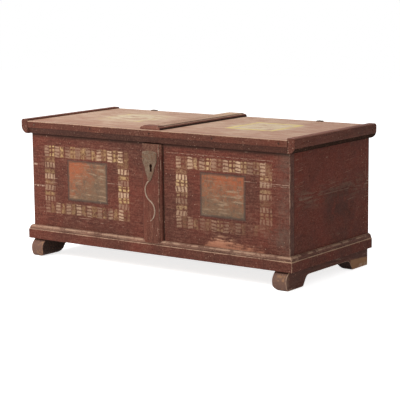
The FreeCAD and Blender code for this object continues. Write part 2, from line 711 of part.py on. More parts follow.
def lock_staple():
    """Staple under the lid: a plate and a long U of bar that the bolt passes through."""
    inner = STAPLE_GAP / 2
    outer = inner + STAPLE_BAR
    bend_z = BOLT_Z - STAPLE_EASE
    plate_z = RIM_Z - STAPLE_PLATE

    def at(across, z):
        return V(STAPLE_X, STAPLE_Y + across, z)
    loop = outline(
        at(-outer, plate_z),
        at(-outer, bend_z),
        (at(0, bend_z - outer), at(outer, bend_z)),
        at(outer, plate_z),
        at(inner, plate_z),
        at(inner, bend_z),
        (at(0, bend_z - inner), at(-inner, bend_z)),
        at(-inner, plate_z),
    ).extrude(V(STAPLE_WIDTH, 0, 0))
    margin = STAPLE_PLATE_MARGIN
    plate = box(
        STAPLE_X - margin, STAPLE_X + STAPLE_WIDTH + margin, STAPLE_Y - outer, STAPLE_Y + outer, plate_z, RIM_Z)
    return fused([loop, plate])


def wood_nails():
    """Nails of the carcass, base moulding, pilaster and lid, each group on the piece that they hold."""
    corner_x = END_X - BOARD / 2
    joints = {
        FRONT_Y: BOTTOM_TOP_Z + FRONT_LOWER_PLANK,
        BACK_Y: BOTTOM_TOP_Z + BACK_LOWER_PLANK,
    }
    carcass_places = []
    for face_y, joint in joints.items():
        inward = Y_AXIS if face_y == FRONT_Y else -Y_AXIS
        levels = [BASE_TOP_Z + NAIL_FROM_EDGE, joint - NAIL_FROM_EDGE, joint + NAIL_FROM_EDGE,
                  LIP_BOTTOM_Z - NAIL_FROM_EDGE]
        for sign in SIDES.values():
            carcass_places += [(V(sign * corner_x, face_y, z), inward) for z in levels]
    base_z = FOOT_HEIGHT + BASE_FACE / 2
    base_places = [(V(x, BASE_FRONT_Y, base_z), Y_AXIS)
                   for x in spread(-END_X + NAIL_FROM_EDGE, END_X - NAIL_FROM_EDGE, NAIL_PITCH)]
    lid_z = (RIM_Z + LID_TOP_Z) / 2
    cleat_places = []
    for sign in SIDES.values():
        inward = X_AXIS * -sign
        base_places += [(V(sign * BASE_END_X, y, base_z), inward)
                        for y in spread(FRONT_Y + NAIL_FROM_EDGE, BACK_Y - NAIL_FROM_EDGE, NAIL_PITCH)]
        cleat_places += [(V(sign * (LID_END_X + CLEAT), y, lid_z), inward)
                         for y in spread(FRONT_Y + NAIL_FROM_EDGE, BACK_Y - NAIL_FROM_EDGE, NAIL_PITCH)]
    moulding_places = [(V(x, LIP_FRONT_Y, lid_z), Y_AXIS)
                       for x in spread(-END_X + NAIL_FROM_EDGE, END_X - NAIL_FROM_EDGE, NAIL_PITCH)]
    batten_places = [(V(0, y, LID_TOP_Z + BATTEN), -Z_AXIS)
                     for y in spread(FRONT_Y + NAIL_FROM_EDGE, BACK_Y - NAIL_FROM_EDGE, BATTEN_NAIL_PITCH)]
    pilaster_places = [(V(sign * PILASTER_NAIL_SPREAD / 2, PILASTER_FRONT_Y, z), Y_AXIS)
                       for sign in SIDES.values()
                       for z in (PILASTER_FOOT_Z + PILASTER_NAIL_FROM_END, PILASTER_TOP_Z - PILASTER_NAIL_FROM_END)]
    return {
        "carcass_nails": nails(carcass_places, NAIL),
        "base_moulding_nails": nails(base_places, NAIL, BASE + BOARD - NAIL["dome"]),
        "pilaster_nails": nails(pilaster_places, NAIL, PILASTER + BOARD - NAIL["dome"]),
        "lid_cleat_nails": nails(cleat_places, NAIL, CLEAT + BOARD),
        "lid_moulding_nails": nails(moulding_places, NAIL),
        "lid_batten_nails": nails(batten_places, NAIL, BATTEN_NAIL_LENGTH),
    }


def iron_tacks():
    """Tacks that hold the escutcheon, lock plate, staple and hinges to the wood behind them."""
    shield_y = PILASTER_FRONT_Y - ESCUTCHEON
    shield_x = ESCUTCHEON_WIDTH / 2 - TACK_INSET
    shield_top = KEY_Z + ESCUTCHEON_ABOVE_KEY - TACK_INSET
    shield_low = KEY_Z + ESCUTCHEON_SHOULDER + TACK_INSET
    shield = [(V(ESCUTCHEON_OFFSET + sign * shield_x, shield_y, z), Y_AXIS)
              for sign in SIDES.values() for z in (shield_low, shield_top)]
    plate_x = LOCK_PLATE_WIDTH / 2 - TACK_INSET
    plate = [(V(LOCK_PLATE_OFFSET + sign * plate_x, LOCK_Y, z), -Y_AXIS)
             for sign in SIDES.values()
             for z in (KEY_Z - LOCK_BELOW_KEY + TACK_INSET, KEY_Z + LOCK_ABOVE_KEY - TACK_INSET)]
    ends = (STAPLE_X - STAPLE_PLATE_MARGIN + TACK_INSET, STAPLE_X + STAPLE_WIDTH + STAPLE_PLATE_MARGIN - TACK_INSET)
    staple = [(V(x, STAPLE_Y, RIM_Z - STAPLE_PLATE), Z_AXIS) for x in ends]
    lid_leaf = []
    back_leaf = []
    for x in HINGE_X.values():
        lid_leaf.append((V(x, BACK_Y - LID_LEAF_WRAP / 2, LID_TOP_Z + LEAF), -Z_AXIS))
        levels = spread(
            RIM_Z - BACK_LEAF_LENGTH + BACK_LEAF_POINT, RIM_Z - KNUCKLE_RADIUS - BACK_LEAF_POINT, NAIL_FROM_EDGE)
        back_leaf += [(V(x, BACK_Y + LEAF, z), -Y_AXIS) for z in levels]
    return {
        "escutcheon_tacks": nails(shield, TACK),
        "lock_tacks": nails(plate, TACK),
        "staple_tacks": nails(staple, TACK),
        "hinge_lid_tacks": nails(lid_leaf, TACK),
        "hinge_back_tacks": nails(back_leaf, TACK),
    }


def drive(nodes, fasteners):
    """Nails and tacks in holes of their own size, in every piece that they pass through."""
    for name, shape in nodes.items():
        for group in fasteners.values():
            if shape.BoundBox.intersect(group.BoundBox):
                shape = shape.cut(group)
        nodes[name] = shape
    nodes.update(fasteners)


def build():
    """Every node's shape by name."""
    nodes = carcass()
    nodes.update(base_mouldings())
    nodes["right_runner"] = runner()
    nodes["left_runner"] = mirrored_x(nodes["right_runner"])
    nodes["pilaster"] = pilaster(nodes["base_moulding_front"])
    nodes["escutcheon"] = escutcheon()
    nodes.update(till_box())
    nodes["till_lid"] = till_lid()
    nodes.update(lid_planks())
    nodes["lid_front_moulding"] = lid_front_moulding()
    nodes["lid_right_cleat"] = lid_cleat()
    nodes["lid_left_cleat"] = mirrored_x(nodes["lid_right_cleat"])
    nodes["lid_batten"] = lid_batten()
    for side, x in HINGE_X.items():
        nodes.update({"hinge_" + side + "_" + name: shape for name, shape in hinge(x).items()})
    nodes.update(lock())
    nodes["lock_staple"] = lock_staple()
    drive(nodes, {"runner_pegs": runner_pegs(), **wood_nails(), **iron_tacks()})
    return nodes


os.makedirs("parts", exist_ok=True)
for node, shape in build().items():
    shape.exportStep("parts/" + node + ".step")
    print(node, len(shape.Solids), shape.isValid(), round(shape.Volume))
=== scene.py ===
"""Looks of a painted dowry chest: worn planks and mouldings, stamped paint and wrought iron."""

import logging
import math
from dataclasses import dataclass
from enum import Enum
from functools import partial
from typing import Callable, Optional, Sequence

import bmesh
import bpy
import numpy as np
from mathutils import Matrix, Vector


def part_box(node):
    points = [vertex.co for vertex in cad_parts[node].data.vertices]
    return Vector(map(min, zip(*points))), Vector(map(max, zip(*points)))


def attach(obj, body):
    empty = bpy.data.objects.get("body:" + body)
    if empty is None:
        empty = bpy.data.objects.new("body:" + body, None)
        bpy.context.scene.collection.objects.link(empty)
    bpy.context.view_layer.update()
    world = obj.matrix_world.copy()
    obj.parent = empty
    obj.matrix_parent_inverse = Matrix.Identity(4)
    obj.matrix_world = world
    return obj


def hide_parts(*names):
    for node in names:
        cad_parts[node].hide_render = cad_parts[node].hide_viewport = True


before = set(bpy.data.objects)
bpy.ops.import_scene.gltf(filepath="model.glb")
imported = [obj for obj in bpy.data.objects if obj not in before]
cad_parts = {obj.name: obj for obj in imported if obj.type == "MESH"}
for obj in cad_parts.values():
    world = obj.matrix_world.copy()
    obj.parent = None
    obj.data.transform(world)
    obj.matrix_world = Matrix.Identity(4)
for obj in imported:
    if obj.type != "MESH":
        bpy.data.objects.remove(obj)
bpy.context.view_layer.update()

LOG = logging.getLogger("dowry_chest")
MM = 0.001
Array = np.ndarray
Socket = bpy.types.NodeSocket
Material = bpy.types.Material
NodeTree = bpy.types.NodeTree
Colour = Point = tuple[float, float, float]
Span = tuple[float, float]
FaceRule = Callable[[Array, Array], Array]

# How worn edges are sampled, in millimetres
CORNER_STEPS = 4
ARRIS_REACH = 14.0
PULL_REACH = 5.0
EDGE_SUPPORTS = np.array([0.8, 2.4, 6.0, 12.0])
CLOSEST_LINES = 0.5
MERGE = 2e-6
SMOOTH_ANGLE = math.radians(38.0)
RANDOM_HEIGHTS = 2048
LOSS_PITCH = 70.0
WAVES_ALONG, WAVES_ACROSS, WAVES_FADE = 150.0, 42.0, 20.0
END_FACE_RINGS = np.array([12.0, 6.0, 3.0])
END_STEPS = 4
BLUNT_STEPS = np.array([0.0, 0.3, 0.65, 1.0])
HOLE_STEPS = (0.4, 0.8)
SAME = 0.01
TINY = 1e-6


class Slot(Enum):
    """Material slots, kept with each piece's materials."""

    PAINTED = "painted_wood"
    BARE = "bare_wood"
    IRON = "iron"


class Body(Enum):
    """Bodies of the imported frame."""

    CHEST = "chest"
    LID = "lid"
    TILL_LID = "till_lid"
    BOLT = "lock_bolt"


class Axis(Enum):
    """Directions of the frame."""

    X = 0
    Y = 1
    Z = 2

    def unit(self) -> Array:
        """Unit vector along this direction."""
        return np.eye(3)[self.value]


class Side(Enum):
    """Ends of the chest, by the sign of their X."""

    LEFT = -1
    RIGHT = 1

    def word(self) -> str:
        """Name of this side as the frame's nodes spell it."""
        return self.name.lower()


def node_box(node: str) -> tuple[Array, Array]:
    """Lowest and highest corner of a CAD node, in millimetres."""
    low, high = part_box(node)
    return np.round(np.array(low) / MM, 3), np.round(np.array(high) / MM, 3)


def drift(places: Array, pitch: float, seed: int) -> Array:
    """Smooth random curve: random heights a pitch apart, joined by the cubic 3s^2 - 2s^3.

    Args:
        places: Where to read the curve.
        pitch: Distance between its random heights.
        seed: Choice of heights.

    Returns:
        Heights from -1 to 1, shaped as places.
    """
    heights = np.random.default_rng(seed).uniform(-1.0, 1.0, RANDOM_HEIGHTS)
    step = np.floor(places / pitch).astype(int)
    share = places / pitch - step
    share = share * share * (3.0 - 2.0 * share)
    return heights[step % RANDOM_HEIGHTS] * (1.0 - share) + heights[(step + 1) % RANDOM_HEIGHTS] * share


def nicks(places: Array, every: float, depth: float, length: float, seed: int) -> Array:
    """Dents along an edge: the deepest of many bell curves with random centres, depths and lengths.

    Args:
        places: Where to read the dents along the edge.
        every: Mean distance between dents.
        depth: Deepest dent.
        length: Usual half length of a dent.
        seed: Choice of dents.

    Returns:
        Depth at each place.
    """
    draw = np.random.default_rng(seed)
    reach = float(np.ptp(places))
    count = max(1, int(reach / every))
    centres = places.min() + draw.uniform(0.0, reach, count)
    depths = depth * draw.uniform(0.25, 1.0, count) ** 2
    lengths = length * draw.uniform(0.4, 1.6, count)
    return (depths * np.exp(-(((places[:, None] - centres) / lengths) ** 2))).max(axis=1)


def line_places(run: float, pitch: float, kept: Sequence[float] = ()) -> Array:
    """Places of grid lines along a straight run, closer together near its ends.

    Args:
        run: Length of the run.
        pitch: Spacing in the middle.
        kept: Places that have to be among the lines, with no others between them.

    Returns:
        Sorted places strictly inside the run.
    """
    held = np.array([k for k in kept if CLOSEST_LINES / 10 < k < run - CLOSEST_LINES / 10])
    even = np.linspace(0.0, run, max(1, round(run / pitch)) + 1)
    free = np.concatenate([EDGE_SUPPORTS, run - EDGE_SUPPORTS, even])
    free = np.unique(np.round(free, 3))
    free = free[(free > CLOSEST_LINES) & (free < run - CLOSEST_LINES)]
    if len(held):
        free = free[(free < held.min() - CLOSEST_LINES) | (free > held.max() + CLOSEST_LINES)]
    if len(free) > 1:
        free = free[np.concatenate([[True], np.diff(free) > CLOSEST_LINES])]
    return np.sort(np.concatenate([free, held]))


@dataclass(frozen=True)
class Corner:
    """One corner of a section.

    Attributes:
        u: Place across.
        v: Place up.
        ease: How far the corner is rounded along both its runs.
        wear: How much of the paint and wood has gone there, from 0 to 1.
        rub: How much of the paint alone has gone there, from 0 to 1.
    """

    u: float
    v: float
    ease: float = 0.0
    wear: float = 0.0
    rub: float = 0.0


def arc(centre: Span, radii: Span, turn: Span, steps: int, rub: float = 0.0) -> list[Corner]:
    """Corners along part of an ellipse, centre plus radii times cosine and sine.

    Args:
        centre: Its centre.
        radii: Its half widths across and up.
        turn: First and last angle, in degrees.
        steps: Number of straight steps.
        rub: How much paint has gone from it.

    Returns:
        The points from the first angle to the last.
    """
    angles = np.radians(np.linspace(turn[0], turn[1], steps + 1))
    across = centre[0] + radii[0] * np.cos(angles)
    up = centre[1] + radii[1] * np.sin(angles)
    return [Corner(float(u), float(v), rub=rub) for u, v in zip(across, up)]


def bend(start: Span, middle: Span, end: Span, steps: int) -> list[Corner]:
    """Corners along the curve (1-s)^2 A + 2s(1-s) C + s^2 B, whose C puts its middle on a given point.

    Args:
        start: Its first point, A.
        middle: The point half way along it.
        end: Its last point, B.
        steps: Number of straight steps.

    Returns:
        The points from start to end.
    """
    a, m, b = (np.array(p) for p in (start, middle, end))
    pull = 2 * m - (a + b) / 2
    share = np.linspace(0.0, 1.0, steps + 1)[:, None]
    points = (1 - share) ** 2 * a + 2 * share * (1 - share) * pull + share ** 2 * b
    return [Corner(float(u), float(v)) for u, v in points]


def nearness(gap: Array, reach: float) -> Array:
    """1 at no distance, falling evenly to 0 at the reach."""
    return np.clip(1.0 - gap / reach, 0.0, 1.0)


class Section:
    """Closed outline across a piece: eased corners joined by straight runs, sampled as arrays."""

    def __init__(self, corners: Sequence[Corner], pitch: float, kept: Sequence[float] = ()) -> None:
        """Samples the outline.

        An eased corner is the curve (1-s)^2 A + 2s(1-s) C + s^2 B between the ends A, B of its runs.

        Args:
            corners: The corners in order round the outline.
            pitch: Spacing of points along the runs.
            kept: Places across that runs along u keep as points.
        """
        spots = np.array([(c.u, c.v) for c in corners])
        ease = np.array([c.ease for c in corners])
        self.wear = np.array([c.wear for c in corners])
        run = np.roll(spots, -1, axis=0) - spots
        length = np.linalg.norm(run, axis=1)
        ahead = run / length[:, None]
        back = -np.roll(ahead, 1, axis=0)
        share = np.linspace(0.0, 1.0, CORNER_STEPS + 1)[:, None]
        pieces = []
        for i, spot in enumerate(spots):
            after = (i + 1) % len(spots)
            start = spot + ahead[i] * ease[i]
            if ease[i] > 0.0:
                before = spot + back[i] * ease[i]
                pieces.append((1 - share) ** 2 * before + 2 * share * (1 - share) * spot + share ** 2 * start)
            else:
                pieces.append(spot[None])
            along_u = abs(ahead[i][0]) > 0.999
            held = [(k - start[0]) * ahead[i][0] for k in kept] if along_u else []
            places = line_places(length[i] - ease[i] - ease[after], pitch, held)
            pieces.append(start + ahead[i] * places[:, None])
        self.points = np.concatenate(pieces)
        inward = ahead + back
        self.inward = inward / np.maximum(np.linalg.norm(inward, axis=1), TINY)[:, None]
        gap = np.linalg.norm(self.points[:, None] - spots[None], axis=2)
        rubbed = np.maximum(self.wear, [c.rub for c in corners])
        self.near = rubbed * nearness(gap, ARRIS_REACH)
        self.pull = self.wear * nearness(gap, PULL_REACH)
        step = np.roll(self.points, -1, axis=0) - np.roll(self.points, 1, axis=0)
        step /= np.maximum(np.linalg.norm(step, axis=1), TINY)[:, None]
        after = np.roll(spots, -1, axis=0)
        area = np.sum(spots[:, 0] * after[:, 1] - after[:, 0] * spots[:, 1])
        self.outward = math.copysign(1.0, area) * np.stack([step[:, 1], -step[:, 0]], axis=1)


@dataclass
class Shell:
    """Closed surface before it becomes a mesh: points in millimetres, faces by size and worn-edge weights."""

    points: Array
    faces: list[Array]
    arris: Array


def ring_quads(rings: int, loop: int) -> Array:
    """Four-sided faces between neighbouring rings of a grid that is closed along its loops.

    Args:
        rings: Number of rings.
        loop: Points in each.

    Returns:
        Point numbers, one row for each face.
    """
    index = np.arange(rings * loop).reshape(rings, loop)
    after = np.roll(index, -1, axis=1)
    return np.stack([index[:-1], after[:-1], after[1:], index[1:]], axis=-1).reshape(-1, 4)


def ring_shell(rings: Array) -> Shell:
    """Shell of closed rings joined in order, with no worn edges."""
    return Shell(rings.reshape(-1, 3), [ring_quads(*rings.shape[:2])], np.zeros(rings.size // 3))


def fall_off(gap: Array, radius: float) -> Array:
    """How far a quarter circle has fallen at a distance d from its end: r - sqrt(r^2 - (r - d)^2)."""
    short = radius - np.clip(gap, 0.0, radius)
    return radius - np.sqrt(radius ** 2 - short ** 2)


@dataclass
class Grid:
    """Rings of points along a piece, each a closed loop, with the place of every ring and loop point."""

    points: Array
    arris: Array
    ring_at: Array
    loop_at: Array
    capped: bool = True

    def shell(self, shown: Array | slice = slice(None)) -> Shell:
        """Closed shell of this grid.

        Args:
            shown: Which faces between the rings stay.

        Returns:
            The shell.
        """
        rings, loop = self.arris.shape
        faces = [ring_quads(rings, loop)[shown]]
        if self.capped:
            ends = np.arange(rings * loop).reshape(rings, loop)[[0, -1]]
            faces += [ends[:1, ::-1], ends[1:]]
        return Shell(self.points.reshape(-1, 3), faces, self.arris.ravel())

    def punched(self, hole: "Keyhole", window: Sequence[float], flats: Span) -> Shell:
        """Shell with a keyhole through it along Y.

        The faces in a window are left out of both flats. From each window's edge E, rings E + s (H - E) run
        in to the hole's edge H at the same angle, and a wall joins the two hole edges.

        Args:
            hole: The keyhole.
            window: Window's span along the rings and then across the loop; both have grid lines there.
            flats: Places of the two flats along the loop's second direction.

        Returns:
            The shell.
        """
        rings, loop = self.arris.shape
        across, through = self.loop_at.T
        rows = np.flatnonzero((self.ring_at > window[0] - SAME) & (self.ring_at < window[1] + SAME))
        framed = (across > window[2] - SAME) & (across < window[3] + SAME)
        rims = []
        shown = np.ones((rings - 1, loop), bool)
        for flat in flats:
            cols = np.flatnonzero(framed & (np.abs(through - flat) < SAME))
            shown[np.ix_(rows[:-1], cols[:-1])] = False
            cols = cols[np.argsort(across[cols])]
            rims.append(np.concatenate([
                rows[:-1] * loop + cols[0], rows[-1] * loop + cols[:-1],
                rows[:0:-1] * loop + cols[-1], rows[0] * loop + cols[:0:-1]]))
        base = self.shell(shown.ravel())
        near, far = (base.points[rim] for rim in rims)
        inner = hole.edge_towards(near)
        lip, back = inner.copy(), inner.copy()
        lip[:, 1] = near[:, 1] + math.copysign(hole.lip, float(np.mean(far[:, 1] - near[:, 1])))
        back[:, 1] = far[:, 1]
        runs = [near + share * (inner - near) for share in HOLE_STEPS] + [lip, back]
        runs += [far + share * (back - far) for share in HOLE_STEPS[::-1]]
        fresh = len(base.points) + np.arange(len(runs) * len(near)).reshape(len(runs), -1)
        index = np.concatenate([rims[0][None], fresh, rims[1][None]])
        quads = index.ravel()[ring_quads(*index.shape)]
        arris = np.concatenate([base.arris, np.zeros(fresh.size)])
        return Shell(np.concatenate([base.points, *runs]), base.faces + [quads], arris)


@dataclass(frozen=True)
class Keyhole:
    """Round hole with a slot hanging from it."""

    centre: Span
    radius: float
    slot: float
    tail: float
    lip: float

    def edge_towards(self, points: Array) -> Array:
        """Points of the hole's edge on the rays from its centre to given points.

        A ray's length is the radius, or below the centre the longer of it and the slot's wall or end.

        Args:
            points: Points round the hole; their Y is kept.

        Returns:
            The edge's points.
        """
        across = points[:, 0] - self.centre[0]
        up = points[:, 2] - self.centre[1]
        reach = np.hypot(across, up)
        cosine, sine = across / reach, up / reach
        wall = self.slot / 2 / np.maximum(np.abs(cosine), TINY)
        end = self.tail / np.maximum(-sine, TINY)
        length = np.where(sine < 0.0, np.maximum(self.radius, np.minimum(wall, end)), self.radius)
        edge = points.copy()
        edge[:, 0] = self.centre[0] + length * cosine
        edge[:, 2] = self.centre[1] + length * sine
        return edge


@dataclass(frozen=True)
class Placing:
    """Where a section lies: its origin, its two directions and the direction that it is carried in."""

    origin: Array
    across: Array
    up: Array
    along: Array


@dataclass(frozen=True)
class Wear:
    """How an edge has worn: general loss, dents and the choice of both, in millimetres."""

    loss: float
    dent: float
    every: float = 60.0
    length: float = 6.0
    seed: int = 1

    def along(self, places: Array, edges: int) -> Array:
        """Loss along several edges.

        Args:
            places: Places along the edges.
            edges: Number of edges.

        Returns:
            Depth of wood gone, one row for each place and one column for each edge.
        """
        columns = []
        for edge in range(edges):
            seed = self.seed * 100 + edge
            general = self.loss * (0.6 + 0.4 * drift(places, LOSS_PITCH, seed))
            columns.append(general + nicks(places, self.every, self.dent, self.length, seed + 50))
        return np.stack(columns, axis=1)


def carry(section: Section, placing: Placing, span: Span, pitch: float, wear: Wear, mitre: Span = (0.0, 0.0),
          blunt: Span = (1.0, 1.0), end_wear: Span = (0.6, 0.6), end_inset: float = 0.3,
          kept: Sequence[float] = ()) -> Grid:
    """Section carried along a straight path, with worn corners and eased or mitred ends.

    A point is origin + u across + v up + t along. Corners move inwards by their wear at t. The outline
    shrinks at a blunt end as a quarter circle falls. A mitre adds its share of u to t.

    Args:
        section: The section.
        placing: Where it lies.
        span: First and last place along the path.
        pitch: Spacing of rings.
        wear: Wear of its corners.
        mitre: Change of each end's place for each unit across.
        blunt: Rounding of each end.
        end_wear: Worn-edge weight at each end.
        end_inset: Width of the unworn ring round each end face.
        kept: Places along the path that keep a ring.

    Returns:
        The grid.
    """
    length = span[1] - span[0]
    middle = line_places(length, pitch, [k - span[0] for k in kept])
    steps = np.concatenate([[0.0, length], middle, BLUNT_STEPS * blunt[0], length - BLUNT_STEPS * blunt[1]])
    steps = np.unique(np.round(steps, 3))
    steps = np.concatenate([[0.0], steps, [length]])
    loss = wear.along(steps + span[0], len(section.wear))
    inset = np.zeros(len(steps))
    rim = np.zeros(len(steps))
    for gap, ease, weight in ((steps, blunt[0], end_wear[0]), (length - steps, blunt[1], end_wear[1])):
        inset += fall_off(gap, ease)
        rim = np.maximum(rim, weight * nearness(gap, ARRIS_REACH))
    inset[[0, -1]] += end_inset
    flat = section.points[None] - inset[:, None, None] * section.outward[None]
    flat = flat + np.einsum("tm,nm,mk->tnk", loss, section.pull, section.inward)
    first = span[0] + mitre[0] * flat[..., 0]
    last = span[1] + mitre[1] * flat[..., 0]
    place = first + (last - first) * (steps / length)[:, None]
    points = (placing.origin + flat[..., :1] * placing.across + flat[..., 1:] * placing.up
              + place[..., None] * placing.along)
    arris = np.maximum(section.near.max(axis=1), rim[:, None])
    arris[[0, -1]] = 0.0
    return Grid(points, arris, steps + span[0], section.points)


@dataclass(frozen=True)
class PlankCut:
    """How a plank is sampled and finished: wear, spacing, eased edges and the plane's waves on one face."""

    wear: Wear
    pitch: float = 8.0
    across: float = 18.0
    ease: float = 1.2
    long_ease: float = 1.2
    wave: float = 0.0
    wavy_side: int = 0
    end_wear: float = 0.5


def plank(low: Array, high: Array, along: Axis, cut: PlankCut, edges: Sequence[float] = (1.0, 1.0, 1.0, 1.0),
          kept_along: Sequence[float] = (), kept_across: Sequence[float] = ()) -> Grid:
    """Plank with eased, worn edges.

    A rounded rectangle is carried along the plank. Near an end its loop is clipped to the rectangle less an
    inset, which follows a quarter circle at the edge and then grows on the end face until the loop closes.

    Args:
        low: Lowest corner.
        high: Highest corner.
        along: Direction of the grain.
        cut: Sampling and finish.
        edges: Worn-edge weights of the four long edges: low-low, high-low, high-high and low-high.
        kept_along: Places along the plank that keep a ring.
        kept_across: Places across it that keep a line.

    Returns:
        The grid, whose loop places are across the plank and through it.
    """
    rest = [axis for axis in Axis if axis is not along]
    rest.sort(key=lambda axis: -(high - low)[axis.value])
    wide, thin = (axis.value for axis in rest)
    spots = [(low, low), (high, low), (high, high), (low, high)]
    corners = [Corner(float(a[wide]), float(b[thin]), cut.long_ease, w) for (a, b), w in zip(spots, edges)]
    section = Section(corners, cut.across, kept_across)
    start, end = float(low[along.value]), float(high[along.value])
    half = min(high[wide] - low[wide], high[thin] - low[thin]) / 2
    turn = np.linspace(0.0, math.pi / 2, END_STEPS)
    face = END_FACE_RINGS[END_FACE_RINGS < half - 1.0]
    inset_in = np.concatenate([[half], face, cut.ease * (1 - np.sin(turn))])
    gap_in = np.concatenate([np.zeros(len(face) + 1), cut.ease * (1 - np.cos(turn))])
    middle = line_places(end - start - 2 * cut.ease, cut.pitch, [k - start - cut.ease for k in kept_along])
    places = np.concatenate([start + gap_in, start + cut.ease + middle, (end - gap_in)[::-1]])
    inset = np.concatenate([inset_in, np.zeros(len(middle)), inset_in[::-1]])[:, None]
    loss = cut.wear.along(places, 4)
    flat = section.points[None] + np.einsum("tm,nm,mk->tnk", loss, section.pull, section.inward)
    across = np.clip(flat[..., 0], low[wide] + inset, high[wide] - inset)
    through = np.clip(flat[..., 1], low[thin] + inset, high[thin] - inset)
    if cut.wavy_side:
        waves = drift(places, WAVES_ALONG, cut.wear.seed)[:, None]
        waves = waves + drift(section.points[:, 0], WAVES_ACROSS, cut.wear.seed + 7)
        fade = np.clip(np.minimum(places - start, end - places) / WAVES_FADE, 0.0, 1.0)[:, None]
        flats = np.abs(section.points[:, 1] - (low, high)[cut.wavy_side > 0][thin]) < SAME
        through = through + cut.wavy_side * cut.wave * waves * fade * flats
    points = np.zeros((*across.shape, 3))
    points[..., along.value] = places[:, None]
    points[..., wide] = across
    points[..., thin] = through
    ends = nearness(np.minimum(places - start, end - places), ARRIS_REACH)[:, None]
    off_face = np.minimum(np.abs(across - low[wide]), np.abs(high[wide] - across))
    off_face = np.minimum(off_face, np.minimum(np.abs(through - low[thin]), np.abs(high[thin] - through)))
    rim = cut.end_wear * ends * nearness(off_face, ARRIS_REACH)
    return Grid(points, np.maximum(section.near.max(axis=1), rim), places, section.points, capped=False)


def sweep(path: Array, outline: Array, side: Array, scale: Optional[Array] = None) -> Grid:
    """Outline carried along a flat curve: path + u (tangent x side) + v side, with u and v scaled along it.

    Args:
        path: Points of the curve.
        outline: Closed outline, as pairs.
        side: Unit normal of the curve's plane.
        scale: Size of the outline at each point of the path.

    Returns:
        The grid.
    """
    tangent = np.gradient(path, axis=0)
    tangent /= np.linalg.norm(tangent, axis=1)[:, None]
    out = np.cross(tangent, side)
    size = np.ones(len(path)) if scale is None else scale
    loop = outline[None] * size[:, None, None]
    points = path[:, None] + loop[..., :1] * out[:, None] + loop[..., 1:] * side
    return Grid(points, np.zeros(points.shape[:2]), np.arange(len(path), dtype=float), outline)


def lathe(profile: Array, origin: Array, axis: Axis, steps: int) -> Shell:
    """Profile turned about an axis: origin + a axis + r (cos w, sin w) in the plane across it.

    Args:
        profile: Pairs of place along the axis and radius.
        origin: A point of the axis.
        axis: Its direction.
        steps: Number of steps round it.

    Returns:
        The shell.
    """
    turn = np.linspace(0.0, 2 * math.pi, steps, endpoint=False)[:, None]
    first, second = (Axis((axis.value + step) % 3).unit() for step in (1, 2))
    round_axis = np.cos(turn) * first + np.sin(turn) * second
    return ring_shell(origin + profile[:, None, :1] * axis.unit() + profile[:, None, 1:] * round_axis)


@dataclass(frozen=True)
class Dress:
    """Slot and materials of a piece, and the rule that picks one for each face by its centre and normal."""

    slot: Slot
    materials: Sequence[Material]
    rule: Optional[FaceRule] = None


def make_piece(name: str, node: str, shells: Sequence[Shell], dress: Dress, body: Body = Body.CHEST) -> None:
    """Makes a piece's object: its mesh, closed and turned outwards, its materials and its place in the frame.

    Args:
        name: Name of the piece.
        node: CAD node that it stands for.
        shells: Its surfaces, in millimetres.
        dress: Its materials and their rule; its slot is not given to the piece.
        body: Body that it moves with.
    """
    points, arris = (np.concatenate(part) for part in zip(*((s.points, s.arris) for s in shells)))
    first = np.cumsum([0] + [len(s.points) for s in shells])
    faces = [f + start for s, start in zip(shells, first) for f in s.faces]
    mesh = bpy.data.meshes.new(name)
    mesh.from_pydata((points * MM).tolist(), [], [face for part in faces for face in part.tolist()])
    weight = mesh.attributes.new("arris", "FLOAT", "POINT")
    weight.data.foreach_set("value", arris.astype(np.float32))
    work = bmesh.new()
    work.from_mesh(mesh)
    bmesh.ops.remove_doubles(work, verts=work.verts, dist=MERGE)
    bmesh.ops.dissolve_degenerate(work, edges=work.edges, dist=MERGE)
    bmesh.ops.recalc_face_normals(work, faces=work.faces)
    work.to_mesh(mesh)
    work.free()
    for material in dress.materials:
        mesh.materials.append(material)
    if dress.rule is not None:
        count = len(mesh.polygons)
        centre = np.zeros(count * 3)
        normal = np.zeros(count * 3)
        mesh.polygons.foreach_get("center", centre)
        mesh.polygons.foreach_get("normal", normal)
        choice = dress.rule(centre.reshape(-1, 3) / MM, normal.reshape(-1, 3))
        mesh.polygons.foreach_set("material_index", choice.astype(np.int32))
    mesh.shade_smooth()
    mesh.set_sharp_from_angle(angle=SMOOTH_ANGLE)
    piece = bpy.data.objects.new(name, mesh)
    bpy.context.scene.collection.objects.link(piece)
    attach(piece, body.value)
    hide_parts(node)
    LOG.info("%s: %d faces on %s", name, len(mesh.polygons), body.value)


def make_board(name: str, along: Axis, cut: PlankCut, edges: Sequence[float], dress: Dress,
               body: Body = Body.CHEST) -> None:
    """Makes a plank as large as the board of the frame whose name starts as its own does."""
    shell = plank(*node_box(f"{name}_board"), along, cut, edges).shell()
    make_piece(f"{name}_plank", f"{name}_board", [shell], dress, body)


def math_method(operation: str) -> Callable[..., "Wire"]:
    """Method of a wire that adds a Math node.

    Args:
        operation: Operation of the node.

    Returns:
        The method.
    """
    def method(self: "Wire", other: "Number" = 0.0) -> "Wire":
        """Result for this number and another."""
        return self.graph.value("ShaderNodeMath", {0: self, 1: other}, operation=operation)
    return method


